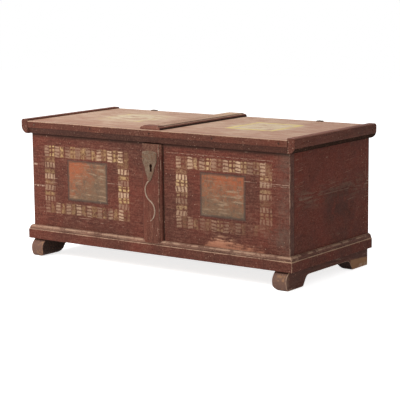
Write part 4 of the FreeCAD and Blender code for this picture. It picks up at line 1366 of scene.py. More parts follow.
class Finishes:
    """Materials of the chest, each built once."""

    def __init__(self, effects: Effects) -> None:
        """Builds the materials.

        Args:
            effects: The shared node groups.
        """
        def paint(name: str, grain: Axis, **values: object) -> Material:
            """Painted finish that differs from the usual one in some values."""
            return PaintedWood(f"{name}_paint", grain, **values).material(effects)

        dark = {
            "coat": (0.138, 0.026, 0.015), "shade": (0.060, 0.020, 0.013), "bloom": (0.220, 0.100, 0.070),
            "speckle": 0.6}
        grey = {"coat": (0.100, 0.037, 0.027), "shade": (0.072, 0.034, 0.026)}
        # The lid's pale coat is worn paint, lightened further as painted sheen of a low view
        pale = {
            "coat": (0.570, 0.385, 0.260), "shade": (0.310, 0.138, 0.084), "bloom": (0.600, 0.460, 0.330),
            "deep": (0.260, 0.150, 0.110), "cream": (0.640, 0.540, 0.360), "ochre": (0.600, 0.470, 0.160)}
        foot = {
            "coat": (0.118, 0.040, 0.028), "shade": (0.072, 0.031, 0.022), "bloom": (0.190, 0.112, 0.084),
            "wood": (0.340, 0.180, 0.090)}
        cleat = {"coat": (0.118, 0.034, 0.022), "shade": (0.066, 0.024, 0.017)}
        red = {"coat": (0.190, 0.068, 0.046), "shade": (0.130, 0.050, 0.036), "cream": (0.480, 0.360, 0.210)}
        worn = {
            "wear": 0.2, "primer": (0.430, 0.270, 0.180), "bloom_share": 0.25, "lines": 0.25, "scratch": 0.35}
        lip = {
            **worn, "wear": 0.32, "fleck": 0.6, "coat": (0.122, 0.034, 0.021), "shade": (0.070, 0.026, 0.018)}
        slope = {
            **worn, "art": Art.SLOPE, "coat": (0.250, 0.120, 0.080), "bloom": (0.400, 0.265, 0.185),
            "bloom_share": 0.6}
        dim = {
            **slope, "wear": 0.36, "coat": (0.150, 0.056, 0.040), "bloom": (0.300, 0.160, 0.110),
            "bloom_share": 0.4}
        # Near-black paint for faces turned down or inwards: painted shade under the cleats, inside the
        # runners and on the batten's upright sides
        under = {
            "coat": (0.030, 0.016, 0.012), "shade": (0.020, 0.012, 0.010), "bloom_share": 0.1, "fleck": 0.1,
            "scratch": 0.2}
        hidden = {"coat": (0.050, 0.020, 0.014), "shade": (0.033, 0.016, 0.012), "bloom_share": 0.1}
        # Darker paint of the lip's downward bevel: painted shade under the lid's edge
        bevel = {
            "coat": (0.082, 0.028, 0.019), "shade": (0.055, 0.023, 0.017), "bloom_share": 0.1, "scratch": 0.1}
        # Pale worn paint on the batten's top, as light as the lid's: partly painted sheen
        top = {"coat": (0.460, 0.290, 0.200), "shade": (0.330, 0.170, 0.110), "bloom": (0.520, 0.400, 0.290)}
        self.front = paint("front", Axis.X, art=Art.FRONT, wear=0.12, scratch=0.44, fleck=0.16)
        self.corner = paint("corner", Axis.Z, grime_cover=0.2, wear=-0.08, **grey)
        self.side = paint(
            "side", Axis.Y, wear=0.1, bloom_share=0.2, scratch=0.4, lines=0.25, art=Art.SIDE, **dark)
        self.moulding_x = paint("long_moulding", Axis.X, **worn)
        self.moulding_y = paint("end_moulding", Axis.Y, **{**worn, **dark, "wear": 0.36})
        self.slope_x = paint("long_slope", Axis.X, **slope)
        self.slope_y = paint("end_slope", Axis.Y, **dim)
        self.lip = paint("lip", Axis.X, **lip)
        self.lip_painted_shade = paint("lip_painted_shade", Axis.X, **bevel)
        self.nail = paint("nail", Axis.X, **hidden)
        self.cleat = paint("cleat", Axis.Y, wear=0.06, bloom_share=0.3, **cleat)
        # Painted shade on the cleats' undersides
        self.cleat_painted_shade = paint("cleat_painted_shade", Axis.Y, sheen=0.0, **under)
        self.pilaster = paint("pilaster", Axis.Z, wear=0.04, bloom_share=0.35, lines=0.2, art=Art.PILASTER)
        self.batten = paint("batten", Axis.Y, wear=0.2, lines=0.2, **red)
        self.batten_top = paint("batten_top", Axis.Y, wear=0.2, lines=0.2, art=Art.BATTEN, **top)
        self.lid = paint("lid", Axis.X, art=Art.LID, wear=0.3, sheen=0.3, bloom_share=0.8, lines=0.25, **pale)
        self.foot = paint("foot", Axis.Y, wear=0.2, bloom_share=0.3, art=Art.FOOT, **foot)
        # Near-black paint inside the runners, on the heels' fronts and on the batten's upright sides: painted
        # shade
        self.foot_painted_shade = paint("foot_painted_shade", Axis.Y, **under)
        self.bare_x = BareWood("long_bare_wood", Axis.X).material(effects)
        self.bare_y = BareWood("cross_bare_wood", Axis.Y).material(effects)
        self.bare_z = BareWood("upright_bare_wood", Axis.Z).material(effects)
        self.iron = WroughtIron("dark_iron").material()
        self.dusty_iron = WroughtIron(
            "dusty_iron", scale=(0.070, 0.046, 0.032), rust=(0.120, 0.060, 0.035),
            dust=(0.225, 0.148, 0.096), dust_share=0.42, metal=0.1, rough=0.65).material()
        self.rubbed_iron = WroughtIron(
            "rubbed_iron", scale=(0.230, 0.155, 0.110), rust=(0.200, 0.115, 0.075),
            dust=(0.360, 0.260, 0.190), dust_share=0.4, metal=0.1).material()


# Keyhole in the iron, and eased in the wood behind it
KEYHOLE_AT = (0.0, 367.0)
IRON_KEYHOLE = Keyhole(KEYHOLE_AT, 6.0, 8.0, 20.0, 0.4)
WOOD_KEYHOLE = Keyhole(KEYHOLE_AT, 7.0, 10.0, 21.0, 0.8)
KEYHOLE_X = np.linspace(-13.0, 13.0, 11)
KEYHOLE_Z = np.linspace(343.5, 379.5, 13)
KEYHOLE_WINDOW = (KEYHOLE_X[0], KEYHOLE_X[-1], KEYHOLE_Z[0], KEYHOLE_Z[-1])

FRONT_Y, BACK_Y, END_X = -245.0, 255.0, 550.0
BATTEN_NOSE_END = -225.0
X_AXIS, Y_AXIS, Z_AXIS = (axis.unit() for axis in Axis)
ORIGIN = np.zeros(3)
UNWORN = Wear(0.0, 0.0)
# Least part of a face's normal along an axis for the face to look that way
FACING = 0.7


def facing(axis: Axis, sign: int, centre: Array, normal: Array) -> Array:
    """1 for each face that looks along an axis, or against it where the sign is -1."""
    return sign * normal[:, axis.value] > FACING


def front_faces(centre: Array, normal: Array) -> Array:
    """Front board's materials: 0 outside, 1 inside and 2 on the ends."""
    return np.where(np.abs(normal[:, 0]) > FACING, 2, normal[:, 1] > FACING)


def lip_faces(centre: Array, normal: Array) -> Array:
    """Lid moulding's materials: 0 in front, 1 on top and 2 below, whose darker paint is painted shade."""
    return np.where(normal[:, 2] > FACING, 1, np.where(normal[:, 2] < -0.3, 2, 0))


def foot_faces(side: Side, centre: Array, normal: Array) -> Array:
    """Runner's materials: 0 outside and 1 inside and on the heel's front, near black as painted shade."""
    heel = (normal[:, 1] < -0.4) & (centre[:, 1] > 0.0)
    return heel | (side.value * normal[:, 0] < -FACING)


def cleat_faces(side: Side, centre: Array, normal: Array) -> Array:
    """End cleat's materials: 0 outside, 1 on top and inside, lighter as painted light, and 2 below, darker as
    painted shade.
    """
    above = (normal[:, 2] > FACING) | (side.value * normal[:, 0] < -0.5)
    return np.where(normal[:, 2] < -0.35, 2, above)


def batten_faces(centre: Array, normal: Array) -> Array:
    """Batten's materials: 0 on the nose and the rounded sides, 1 on top, pale worn paint that is partly
    painted sheen, and 2 on the upright sides, near black as painted shade.
    """
    top = (normal[:, 2] > 0.97) & (centre[:, 1] > BATTEN_NOSE_END)
    return np.where(np.abs(normal[:, 0]) > 0.85, 2, top)


@dataclass(frozen=True)
class Assembly:
    """Sub-assembly of the chest, with the finishes that it is dressed in."""

    finishes: Finishes


@dataclass(frozen=True)
class Carcass(Assembly):
    """Boards of the body: front, ends, back and bottom."""

    corner_ease: float = 1.8
    joint_ease: float = 0.5
    wave: float = 0.35

    def build(self) -> None:
        """Builds and dresses the boards."""
        self._front()
        for side in Side:
            self._end(side)
        self._back()
        self._bottom()

    def _front(self) -> None:
        """The two front boards, the upper one with the keyhole."""
        looks = self.finishes
        cut = PlankCut(
            Wear(0.3, 1.4, 40.0, 5.0, 11), ease=self.corner_ease, long_ease=self.joint_ease, wave=self.wave,
            wavy_side=-1, end_wear=1.05)
        dress = Dress(Slot.PAINTED, [looks.front, looks.bare_x, looks.corner], front_faces)
        make_board("front_lower", Axis.X, cut, (0.0, 0.3, 0.0, 0.0), dress)
        low, high = node_box("front_upper_board")
        grid = plank(low, high, Axis.X, cut, (0.3, 0.2, 0.3, 0.0), KEYHOLE_X, KEYHOLE_Z)
        upper = grid.punched(WOOD_KEYHOLE, KEYHOLE_WINDOW, (low[1], high[1]))
        make_piece("front_upper_plank", "front_upper_board", [upper], dress)

    def _end(self, side: Side) -> None:
        """The two boards of one end.

        Args:
            side: Which end.
        """
        cut = PlankCut(
            Wear(0.4, 1.8, 50.0, 6.0, 20 + side.value), ease=0.4, long_ease=self.joint_ease, wave=self.wave,
            wavy_side=side.value, end_wear=0.0)
        dress = Dress(
            Slot.PAINTED, [self.finishes.side, self.finishes.bare_y], partial(facing, Axis.X, -side.value))
        for level in ("lower", "upper"):
            make_board(f"{side.word()}_end_{level}", Axis.Y, cut, (0.2, 0.35, 0.35, 0.2), dress)

    def _back(self) -> None:
        """The two back boards, painted only on their ends."""
        cut = PlankCut(
            Wear(0.5, 2.0, 45.0, 6.0, 31), ease=2.2, long_ease=0.8, wave=0.5, wavy_side=1, end_wear=1.0)
        dress = Dress(
            Slot.BARE, [self.finishes.bare_x, self.finishes.side],
            lambda centre, normal: np.abs(normal[:, 0]) > 0.5)
        for level in ("lower", "upper"):
            make_board(f"back_{level}", Axis.X, cut, (0.2, 0.3, 0.3, 0.2), dress)

    def _bottom(self) -> None:
        """The two bottom boards."""
        cut = PlankCut(Wear(0.3, 1.0, 80.0, 6.0, 41), pitch=16.0, long_ease=0.8, wave=0.3, wavy_side=1)
        dress = Dress(Slot.BARE, [self.finishes.bare_x])
        for place in ("front", "back"):
            make_board(f"bottom_{place}", Axis.X, cut, (0.2, 0.2, 0.2, 0.2), dress)


@dataclass(frozen=True)
class RunnerFeet(Assembly):
    """Two shaped runners under the chest, and the pegs that hold them."""

    inner_x: float = 494.0
    outer_x: float = 548.0
    top: float = 63.0
    inner_round: float = 22.0
    outer_round: float = 4.0
    peg: float = 11.0
    peg_x: float = 521.0
    peg_rows: tuple[float, ...] = (-200.0, 210.0)
    peg_z: Span = (38.0, 83.0)

    def build(self) -> None:
        """Builds and dresses the runners and pegs."""
        looks = self.finishes
        for side in Side:
            # The runner's inside and heel front take near-black paint as painted shade
            dress = Dress(Slot.PAINTED, [looks.foot, looks.foot_painted_shade], partial(foot_faces, side))
            make_piece(f"{side.word()}_runner_foot", f"{side.word()}_runner", [self._runner(side)], dress)
        make_piece("runner_peg_set", "runner_pegs", self._pegs(), Dress(Slot.BARE, [looks.bare_z]))

    def _runner(self, side: Side) -> Shell:
        """Outline of sole, arch and rolled toe carried through, its lower edges lifted to quarter circles.

        Args:
            side: End of the chest.

        Returns:
            The shell.
        """
        corners = [
            Corner(-164.0, 0.0, 6.0, 0.6), Corner(-140.0, 36.0, 14.0, 0.3), Corner(127.0, 36.0, 14.0, 0.3),
            Corner(151.0, 0.0, 6.0, 0.6), Corner(253.0, 0.0, 3.0, 0.8), Corner(253.0, self.top, 1.0, 0.3),
            *bend((-245.0, self.top), (-261.5, 47.5), (-267.0, 32.0), 8),
            *bend((-267.0, 32.0), (-262.6, 9.4), (-252.0, 0.0), 8)[1:],
        ]
        grid = carry(
            Section(corners, 8.0), Placing(ORIGIN, Y_AXIS, Z_AXIS, side.value * X_AXIS),
            (self.inner_x, self.outer_x), 6.0, Wear(0.5, 1.6, 30.0, 4.0, 50 + side.value), blunt=(1.2, 1.8),
            end_wear=(0.4, 1.0))
        from_inner = (grid.ring_at - self.inner_x)[:, None]
        from_outer = (self.outer_x - grid.ring_at)[:, None]
        for gap, radius in ((from_inner, self.inner_round), (from_outer, self.outer_round)):
            grid.points[..., 2] = np.maximum(grid.points[..., 2], fall_off(gap, radius))
        return grid.shell()

    def _pegs(self) -> list[Shell]:
        """Square pegs, two through each runner.

        Returns:
            Their shells.
        """
        cut = PlankCut(Wear(0.1, 0.3, 20.0, 3.0, 55), pitch=10.0, across=5.0, ease=0.8, long_ease=1.0)
        half = np.array([self.peg, self.peg, 0.0]) / 2
        shells = []
        for side in Side:
            for row in self.peg_rows:
                low, high = (np.array([side.value * self.peg_x, row, z]) for z in self.peg_z)
                shells.append(plank(low - half, high + half, Axis.Z, cut, (0.1, 0.1, 0.1, 0.1)).shell())
        return shells


@dataclass(frozen=True)
class BaseMouldings(Assembly):
    """Moulding round the foot of the body, mitred at its front corners."""

    depth: float = 15.0
    low: float = 63.0
    face_top: float = 98.0
    top: float = 113.0
    slope: Span = (2.0, 10.5)

    def build(self) -> None:
        """Builds and dresses the three mouldings."""
        looks = self.finishes
        step, reach = self.slope
        section = Section([
            Corner(0.0, self.low), Corner(self.depth, self.low, 1.6, 0.5),
            Corner(self.depth, self.face_top, 1.4, 1.0),
            *arc((step, self.face_top), (reach, self.top - self.face_top), (0.0, 72.0), 6, rub=0.78),
            Corner(step, self.top, 1.2, 0.9), Corner(0.0, self.top),
        ], 6.0)
        grid = carry(
            section, Placing(FRONT_Y * Y_AXIS, -Y_AXIS, Z_AXIS, X_AXIS), (-END_X, END_X), 3.0,
            Wear(0.4, 1.3, 24.0, 3.0, 60), (-1.0, 1.0), (0.0, 0.0), (0.9, 0.9))
        dress = Dress(Slot.PAINTED, [looks.moulding_x, looks.slope_x], self._slope_faces)
        make_piece("front_base_moulding", "base_moulding_front", [grid.shell()], dress)
        dress = Dress(Slot.PAINTED, [looks.moulding_y, looks.slope_y], self._slope_faces)
        for side in Side:
            out = side.value * X_AXIS
            grid = carry(
                section, Placing(END_X * out, out, Z_AXIS, Y_AXIS), (FRONT_Y, BACK_Y), 3.0,
                Wear(0.4, 1.3, 22.0, 3.0, 62 + side.value), (-1.0, 0.0), (0.0, 3.0), (0.9, 1.0))
            make_piece(f"{side.word()}_base_moulding", f"base_moulding_{side.word()}", [grid.shell()], dress)

    def _slope_faces(self, centre: Array, normal: Array) -> Array:
        """1 for each face above the moulding's plain face."""
        return centre[:, 2] > self.face_top


@dataclass(frozen=True)
class Pilaster(Assembly):
    """Moulded upright in the middle of the front, with the keyhole through it."""

    half: float = 42.0
    shoulder: float = 33.0
    edge: float = 3.0
    thickness: float = 12.0
    step: float = 3.0
    span: Span = (102.0, 441.0)

    def build(self) -> None:
        """Builds and dresses the pilaster."""
        radii = (self.half - self.shoulder, self.thickness - self.step - self.edge)
        corners = [
            Corner(-self.half, 0.0), *arc((-self.shoulder, self.edge), radii, (180.0, 90.0), 6),
            Corner(-self.shoulder, self.thickness, 1.0, 0.9), Corner(self.shoulder, self.thickness, 1.0, 1.0),
            *arc((self.shoulder, self.edge), radii, (90.0, 0.0), 6, rub=0.75), Corner(self.half, 0.0),
        ]
        grid = carry(
            Section(corners, 8.0, KEYHOLE_X), Placing(FRONT_Y * Y_AXIS, X_AXIS, -Y_AXIS, Z_AXIS), self.span,
            5.0, Wear(0.5, 1.6, 28.0, 5.0, 70), blunt=(0.3, 1.0), end_wear=(0.3, 0.7), kept=KEYHOLE_Z)
        window = KEYHOLE_WINDOW[2:] + KEYHOLE_WINDOW[:2]
        shell = grid.punched(WOOD_KEYHOLE, window, (self.thickness, 0.0))
        make_piece("moulded_pilaster", "pilaster", [shell], Dress(Slot.PAINTED, [self.finishes.pilaster]))


@dataclass(frozen=True)
class Escutcheon(Assembly):
    """Iron shield round the keyhole, with a tail in the shape of an S."""

    centre_x: float = -6.0
    back_y: float = -256.5
    front_y: float = -259.0
    edge: float = 0.6
    tail_top: float = 317.0
    tail_seam: float = 315.0
    wave: float = 70.0
    bulge: float = 20.0
    band: float = 5.0
    steps: int = 180

    def build(self) -> None:
        """Builds and dresses the shield and its tail."""
        dress = Dress(
            Slot.IRON, [self.finishes.dusty_iron, self.finishes.rubbed_iron],
            lambda centre, normal: centre[:, 2] < self.tail_seam)
        make_piece("shield_escutcheon", "escutcheon", [self._shield(), self._tail()], dress)

    def _outline(self) -> Array:
        """Shield's edge at even angles round the keyhole's centre, from the flared top to the narrow tip.

        Returns:
            Its points, across and up.
        """
        corners = [
            *bend((31.0, 413.0), (0.0, 418.0), (-31.0, 413.0), 16),
            *bend((-31.0, 381.0), (-22.0, 364.0), (-18.0, 347.0), 10),
            Corner(-5.0, self.tail_top), Corner(5.0, self.tail_top),
            *bend((18.0, 347.0), (22.0, 364.0), (31.0, 381.0), 10),
        ]
        edge = Section(corners, 1.5).points + np.array([self.centre_x, 0.0])
        offset = edge - np.array(KEYHOLE_AT)
        angle = np.arctan2(offset[:, 1], offset[:, 0])
        order = np.argsort(angle)
        turn = np.linspace(-math.pi, math.pi, self.steps, endpoint=False)
        reach = np.interp(turn, angle[order], np.hypot(*offset[order].T), period=2 * math.pi)
        return np.stack([reach * np.cos(turn), reach * np.sin(turn)], axis=1) + np.array(KEYHOLE_AT)

    def _shield(self) -> Shell:
        """Rings H + s (E - H) from the keyhole's edge H to the shield's edge E, in front and round behind.

        Returns:
            The shell.
        """
        across, up = self._outline().T
        back, front = self.back_y, self.front_y
        outer = np.stack([across, np.full(self.steps, front), up], axis=1)
        inner = IRON_KEYHOLE.edge_towards(outer)
        share = np.array([0.0, 0.0, 0.03, 0.3, 0.6, 0.9, 0.97, 1.0, 1.0, 0.0])
        rings = inner + share[:, None, None] * (outer - inner)
        depth = np.array([
            back, front + 0.4, front, front, front, front, front + 0.15, front + self.edge, back, back])
        rings[..., 1] = depth[:, None]
        return ring_shell(rings)

    def _tail(self) -> Shell:
        """Flat strip along two arcs of a circle that bulge to the left and then to the right.

        Returns:
            The shell.
        """
        radius = (self.wave ** 2 / 4 + self.bulge ** 2) / (2 * self.bulge)
        turn = math.asin(self.wave / 2 / radius)
        angles = np.linspace(turn, -turn, 40)
        upper_x = radius - self.bulge - radius * np.cos(angles)
        upper_z = self.tail_top - self.wave / 2 + radius * np.sin(angles)
        across = np.concatenate([upper_x, -upper_x[1:]]) + self.centre_x
        up = np.concatenate([upper_z, upper_z[1:] - self.wave])
        path = np.stack([across, np.full(len(up), self.back_y), up], axis=1)
        half, deep = self.band / 2, self.back_y - self.front_y
        right = [(half * 0.6, deep * 0.95), (half, deep * 0.6), (half, 0.0)]
        outline = np.array([(-u, v) for u, v in right[::-1]] + right)
        scale = np.interp(np.linspace(0.0, 1.0, len(path)), (0.0, 0.1, 0.85, 1.0), (1.0, 1.0, 0.9, 0.5))
        return sweep(path, outline, -Y_AXIS, scale).shell()


@dataclass(frozen=True)
class Till(Assembly):
    """Small till at the left end of the inside, with a lid on wooden pintles."""

    pintle: Span = (-518.0, 331.0)
    edge_x: float = -404.0
    half: float = 6.0
    span: Span = (-219.0, 229.0)
    pintle_radius: float = 4.0
    pintle_root: float = -1.0
    pintle_reach: float = 10.0
    pintle_ease: float = 0.6

    def build(self) -> None:
        """Builds and dresses the till."""
        cut = PlankCut(Wear(0.3, 1.2, 50.0, 5.0, 80), pitch=14.0, across=12.0, ease=0.8)
        dress = Dress(Slot.BARE, [self.finishes.bare_y])
        for part in ("side", "bottom"):
            shell = plank(*node_box(f"till_{part}"), Axis.Y, cut, (0.2, 0.2, 0.5, 0.5)).shell()
            make_piece(f"till_{part}_board", f"till_{part}", [shell], dress)
        make_piece("till_cover", "till_lid", self._lid(), dress, Body.TILL_LID)

    def _lid(self) -> list[Shell]:
        """Board whose hinge edge is a half circle about the pintles, and the pintles.

        Returns:
            Their shells.
        """
        x, z = self.pintle
        corners = [
            Corner(self.edge_x, z - self.half, 1.0, 0.4), Corner(self.edge_x, z + self.half, 1.2, 0.8),
            *arc(self.pintle, (self.half, self.half), (90.0, 270.0), 12),
        ]
        board = carry(
            Section(corners, 14.0), Placing(ORIGIN, X_AXIS, Z_AXIS, Y_AXIS), self.span, 10.0,
            Wear(0.3, 1.0, 60.0, 5.0, 81))
        root, reach, radius, ease = self.pintle_root, self.pintle_reach, self.pintle_radius, self.pintle_ease
        profile = np.array([
            (root, 0.0), (root, radius), (reach - ease, radius), (reach, radius - ease), (reach, 0.0)])
        return [board.shell()] + [
            lathe(profile * np.array([sign, 1.0]), np.array([x, end, z]), Axis.Y, 20)
            for end, sign in zip(self.span, (-1.0, 1.0))]


@dataclass(frozen=True)
class Lid(Assembly):
    """Lid: two boards, the moulding along their front, a cleat at each end and the batten over the middle."""

    board_front: float = -247.0
    end_x: float = 552.0
    low: float = 445.0
    top: float = 490.0
    lip: float = 19.0
    lip_foot: float = 5.0
    lip_step: float = 2.0
    lip_low: float = 466.0
    cleat: float = 29.0
    cleat_top: float = 496.0
    cleat_hollow: float = 26.0
    cleat_round: float = 8.0
    cleat_span: Span = (-266.0, 255.0)
    batten_half: float = 42.0
    batten_shoulder: float = 31.0
    batten_edge: float = 4.0
    batten_round: float = 6.5
    batten_thickness: float = 13.0
    batten_span: Span = (-261.0, 255.0)
    batten_nose: float = 9.0

    def build(self) -> None:
        """Builds and dresses the lid."""
        self._boards()
        self._lip()
        for side in Side:
            self._cleat(side)
        self._batten()

    def _boards(self) -> None:
        """Boards, painted on top and bare below."""
        cut = PlankCut(
            Wear(0.4, 1.4, 50.0, 6.0, 90), ease=0.4, long_ease=0.5, wave=0.4, wavy_side=1, end_wear=0.0)
        dress = Dress(Slot.PAINTED, [self.finishes.lid, self.finishes.bare_x], partial(facing, Axis.Z, -1))
        for place in ("front", "back"):
            make_board(f"lid_{place}", Axis.X, cut, (0.2, 0.2, 0.3, 0.3), dress, Body.LID)

    def _lip(self) -> None:
        """Lip along the front: a plain face, a small step and a bevel below it."""
        looks = self.finishes
        corners = [
            Corner(0.0, self.low), Corner(self.lip_foot, self.low, 1.0, 0.3),
            Corner(self.lip - self.lip_step, self.lip_low), Corner(self.lip, self.lip_low, 0.8, 0.7),
            Corner(self.lip, self.top, 3.0, 1.0), Corner(0.0, self.top),
        ]
        grid = carry(
            Section(corners, 6.0), Placing(self.board_front * Y_AXIS, -Y_AXIS, Z_AXIS, X_AXIS),
            (-self.end_x, self.end_x), 3.0, Wear(0.35, 1.5, 18.0, 2.6, 92), blunt=(0.2, 0.2),
            end_wear=(0.0, 0.0))
        # The lip's downward faces take darker paint as painted shade
        dress = Dress(Slot.PAINTED, [looks.lip, looks.lid, looks.lip_painted_shade], lip_faces)
        make_piece("lid_lip", "lid_front_moulding", [grid.shell()], dress, Body.LID)

    def _cleat(self, side: Side) -> None:
        """Moulding under and over one end: a hollow quarter below, a rounded edge on top.

        Args:
            side: Which end.
        """
        looks, out = self.finishes, side.value * X_AXIS
        hollow, curve = self.cleat_hollow, self.cleat_round
        corners = [
            Corner(0.0, self.low),
            *arc((self.cleat - hollow, self.low + hollow), (hollow, hollow), (-90.0, 0.0), 10),
            *arc((self.cleat - curve, self.cleat_top - curve), (curve, curve), (0.0, 90.0), 6, rub=0.75),
            Corner(0.0, self.cleat_top, 0.8, 0.7),
        ]
        grid = carry(
            Section(corners, 6.0), Placing(self.end_x * out, out, Z_AXIS, Y_AXIS), self.cleat_span, 5.0,
            Wear(0.4, 1.3, 25.0, 3.0, 94 + side.value), blunt=(1.5, 7.0), end_wear=(0.85, 0.85))
        word, rule = side.word(), partial(cleat_faces, side)
        # Paler paint on the cleat's top and inner face is painted light; the near-black paint below is
        # painted shade
        dress = Dress(Slot.PAINTED, [looks.cleat, looks.batten, looks.cleat_painted_shade], rule)
        make_piece(f"lid_{word}_end_cleat", f"lid_{word}_cleat", [grid.shell()], dress, Body.LID)

    def _batten(self) -> None:
        """Moulded batten across the middle, whose ends roll down as a quarter circle."""
        looks = self.finishes
        half, shoulder, thick = self.batten_half, self.batten_shoulder, self.batten_thickness
        radii = (half - shoulder, self.batten_round)
        corners = [
            Corner(-half, 0.0), *arc((-shoulder, self.batten_edge), radii, (180.0, 90.0), 6),
            Corner(-shoulder, thick, 1.0, 0.9), Corner(shoulder, thick, 1.0, 1.0),
            *arc((shoulder, self.batten_edge), radii, (90.0, 0.0), 6), Corner(half, 0.0),
        ]
        grid = carry(
            Section(corners, 8.0), Placing(self.top * Z_AXIS, X_AXIS, Z_AXIS, Y_AXIS), self.batten_span, 5.0,
            Wear(0.3, 0.9, 30.0, 3.0, 98), blunt=(0.6, 0.6), end_wear=(0.6, 0.8))
        gap = np.minimum(grid.ring_at - self.batten_span[0], self.batten_span[1] - grid.ring_at)[:, None]
        roof = self.top + thick - fall_off(gap, self.batten_nose)
        grid.points[..., 2] = np.minimum(grid.points[..., 2], roof)
        # Near-black paint on the upright sides is painted shade; the pale top is partly painted sheen
        dress = Dress(Slot.PAINTED, [looks.batten, looks.batten_top, looks.foot_painted_shade], batten_faces)
        make_piece("lid_middle_batten", "lid_batten", [grid.shell()], dress, Body.LID)


@dataclass(frozen=True)
class Hinges(Assembly):
    """Two strap hinges behind the lid: a cranked lid leaf, a pointed back leaf and a pin each."""

    places: tuple[tuple[str, float], ...] = (("left", -379.0), ("right", 355.0))
    axis_y: float = 261.5
    axis_z: float = 465.0
    knuckle: float = 6.0
    knuckle_ease: float = 0.5
    bore: float = 3.05
    pin: float = 3.0
    head: float = 4.5
    head_height: float = 2.0
    middle: float = 11.0
    outer: float = 21.4
    gap: float = 0.4
    leaf: float = 3.0
    strap_end: float = 243.0
    strap_top: float = 490.0
    plate_top: float = 458.0
    plate_shoulder: float = 363.0
    plate_tip: float = 345.0
    ear_low: float = 456.0
    steps: int = 28

    def build(self) -> None:
        """Builds and dresses both hinges."""
        iron = Dress(Slot.IRON, [self.finishes.iron])
        for word, x in self.places:
            make_piece(f"{word}_hinge_strap", f"hinge_{word}_lid_leaf", self._lid_leaf(x), iron, Body.LID)
            make_piece(f"{word}_hinge_plate", f"hinge_{word}_back_leaf", self._back_leaf(x), iron)
            make_piece(f"{word}_hinge_pivot", f"hinge_{word}_pin", [self._pin(x)], iron)

    def _turned(self, x: float, profile: Sequence[Span]) -> Shell:
        """Profile turned about the axis of the hinge at x."""
        return lathe(np.array(profile), np.array([x, self.axis_y, self.axis_z]), Axis.X, self.steps)

    def _tube(self, x: float, start: float, end: float) -> Shell:
        """Knuckle: a wall turned about the hinge axis.

        Args:
            x: Middle of the hinge.
            start: First end, from that middle.
            end: Last end.

        Returns:
            The shell.
        """
        low, high, ease = self.knuckle - self.knuckle_ease, self.knuckle, self.knuckle_ease
        return self._turned(x, [
            (start, self.bore), (start, low), (start + ease, high), (end - ease, high), (end, low),
            (end, self.bore), (start, self.bore)])

    def _lid_leaf(self, x: float) -> list[Shell]:
        """Strap from the knuckle up behind the lid and over its top.

        Args:
            x: Middle of the hinge.

        Returns:
            Shells of the strap and the knuckle.
        """
        inner, outer, low, high = BACK_Y, BACK_Y + self.leaf, self.strap_top, self.strap_top + self.leaf
        corners = [
            Corner(self.strap_end, low), Corner(self.strap_end, high, 0.8), Corner(outer, high, 2.4),
            Corner(outer, self.axis_z, 0.3), Corner(inner, self.axis_z, 0.3), Corner(inner, low),
        ]
        strap = carry(
            Section(corners, 4.0), Placing(x * X_AXIS, Y_AXIS, Z_AXIS, X_AXIS), (-self.middle, self.middle),
            4.0, UNWORN, blunt=(0.6, 0.6))
        return [strap.shell(), self._tube(x, -self.middle, self.middle)]

    def _back_leaf(self, x: float) -> list[Shell]:
        """Plate with a pointed foot, and an ear and a knuckle at each side of its top.

        Args:
            x: Middle of the hinge.

        Returns:
            Their shells.
        """
        half, back = self.outer, BACK_Y + self.leaf
        corners = [
            Corner(x - half, self.plate_top, 1.0), Corner(x - half, self.plate_shoulder, 1.0),
            Corner(x, self.plate_tip, 2.0),
            Corner(x + half, self.plate_shoulder, 1.0), Corner(x + half, self.plate_top, 1.0),
        ]
        plate = carry(
            Section(corners, 6.0), Placing(ORIGIN, X_AXIS, Z_AXIS, Y_AXIS), (BACK_Y, back), 1.5, UNWORN,
            blunt=(0.1, 0.7))
        shells = [plate.shell()]
        cut = PlankCut(UNWORN, pitch=4.0, across=3.0, ease=0.3, long_ease=0.3)
        inner = self.middle + self.gap
        for start, end in ((-half, -inner), (inner, half)):
            low = np.array([x + start, BACK_Y, self.ear_low])
            high = np.array([x + end, back, self.axis_z])
            shells += [plank(low, high, Axis.Z, cut).shell(), self._tube(x, start, end)]
        return shells

    def _pin(self, x: float) -> Shell:
        """Pin with a low head at each end.

        Args:
            x: Middle of the hinge.

        Returns:
            The shell.
        """
        end, tip = self.outer, self.outer + self.head_height
        half = [(tip, 0.0), (tip, self.head - 1.0), (tip - 0.8, self.head), (end, self.head), (end, self.pin)]
        return self._turned(x, half + [(-place, radius) for place, radius in half[::-1]])


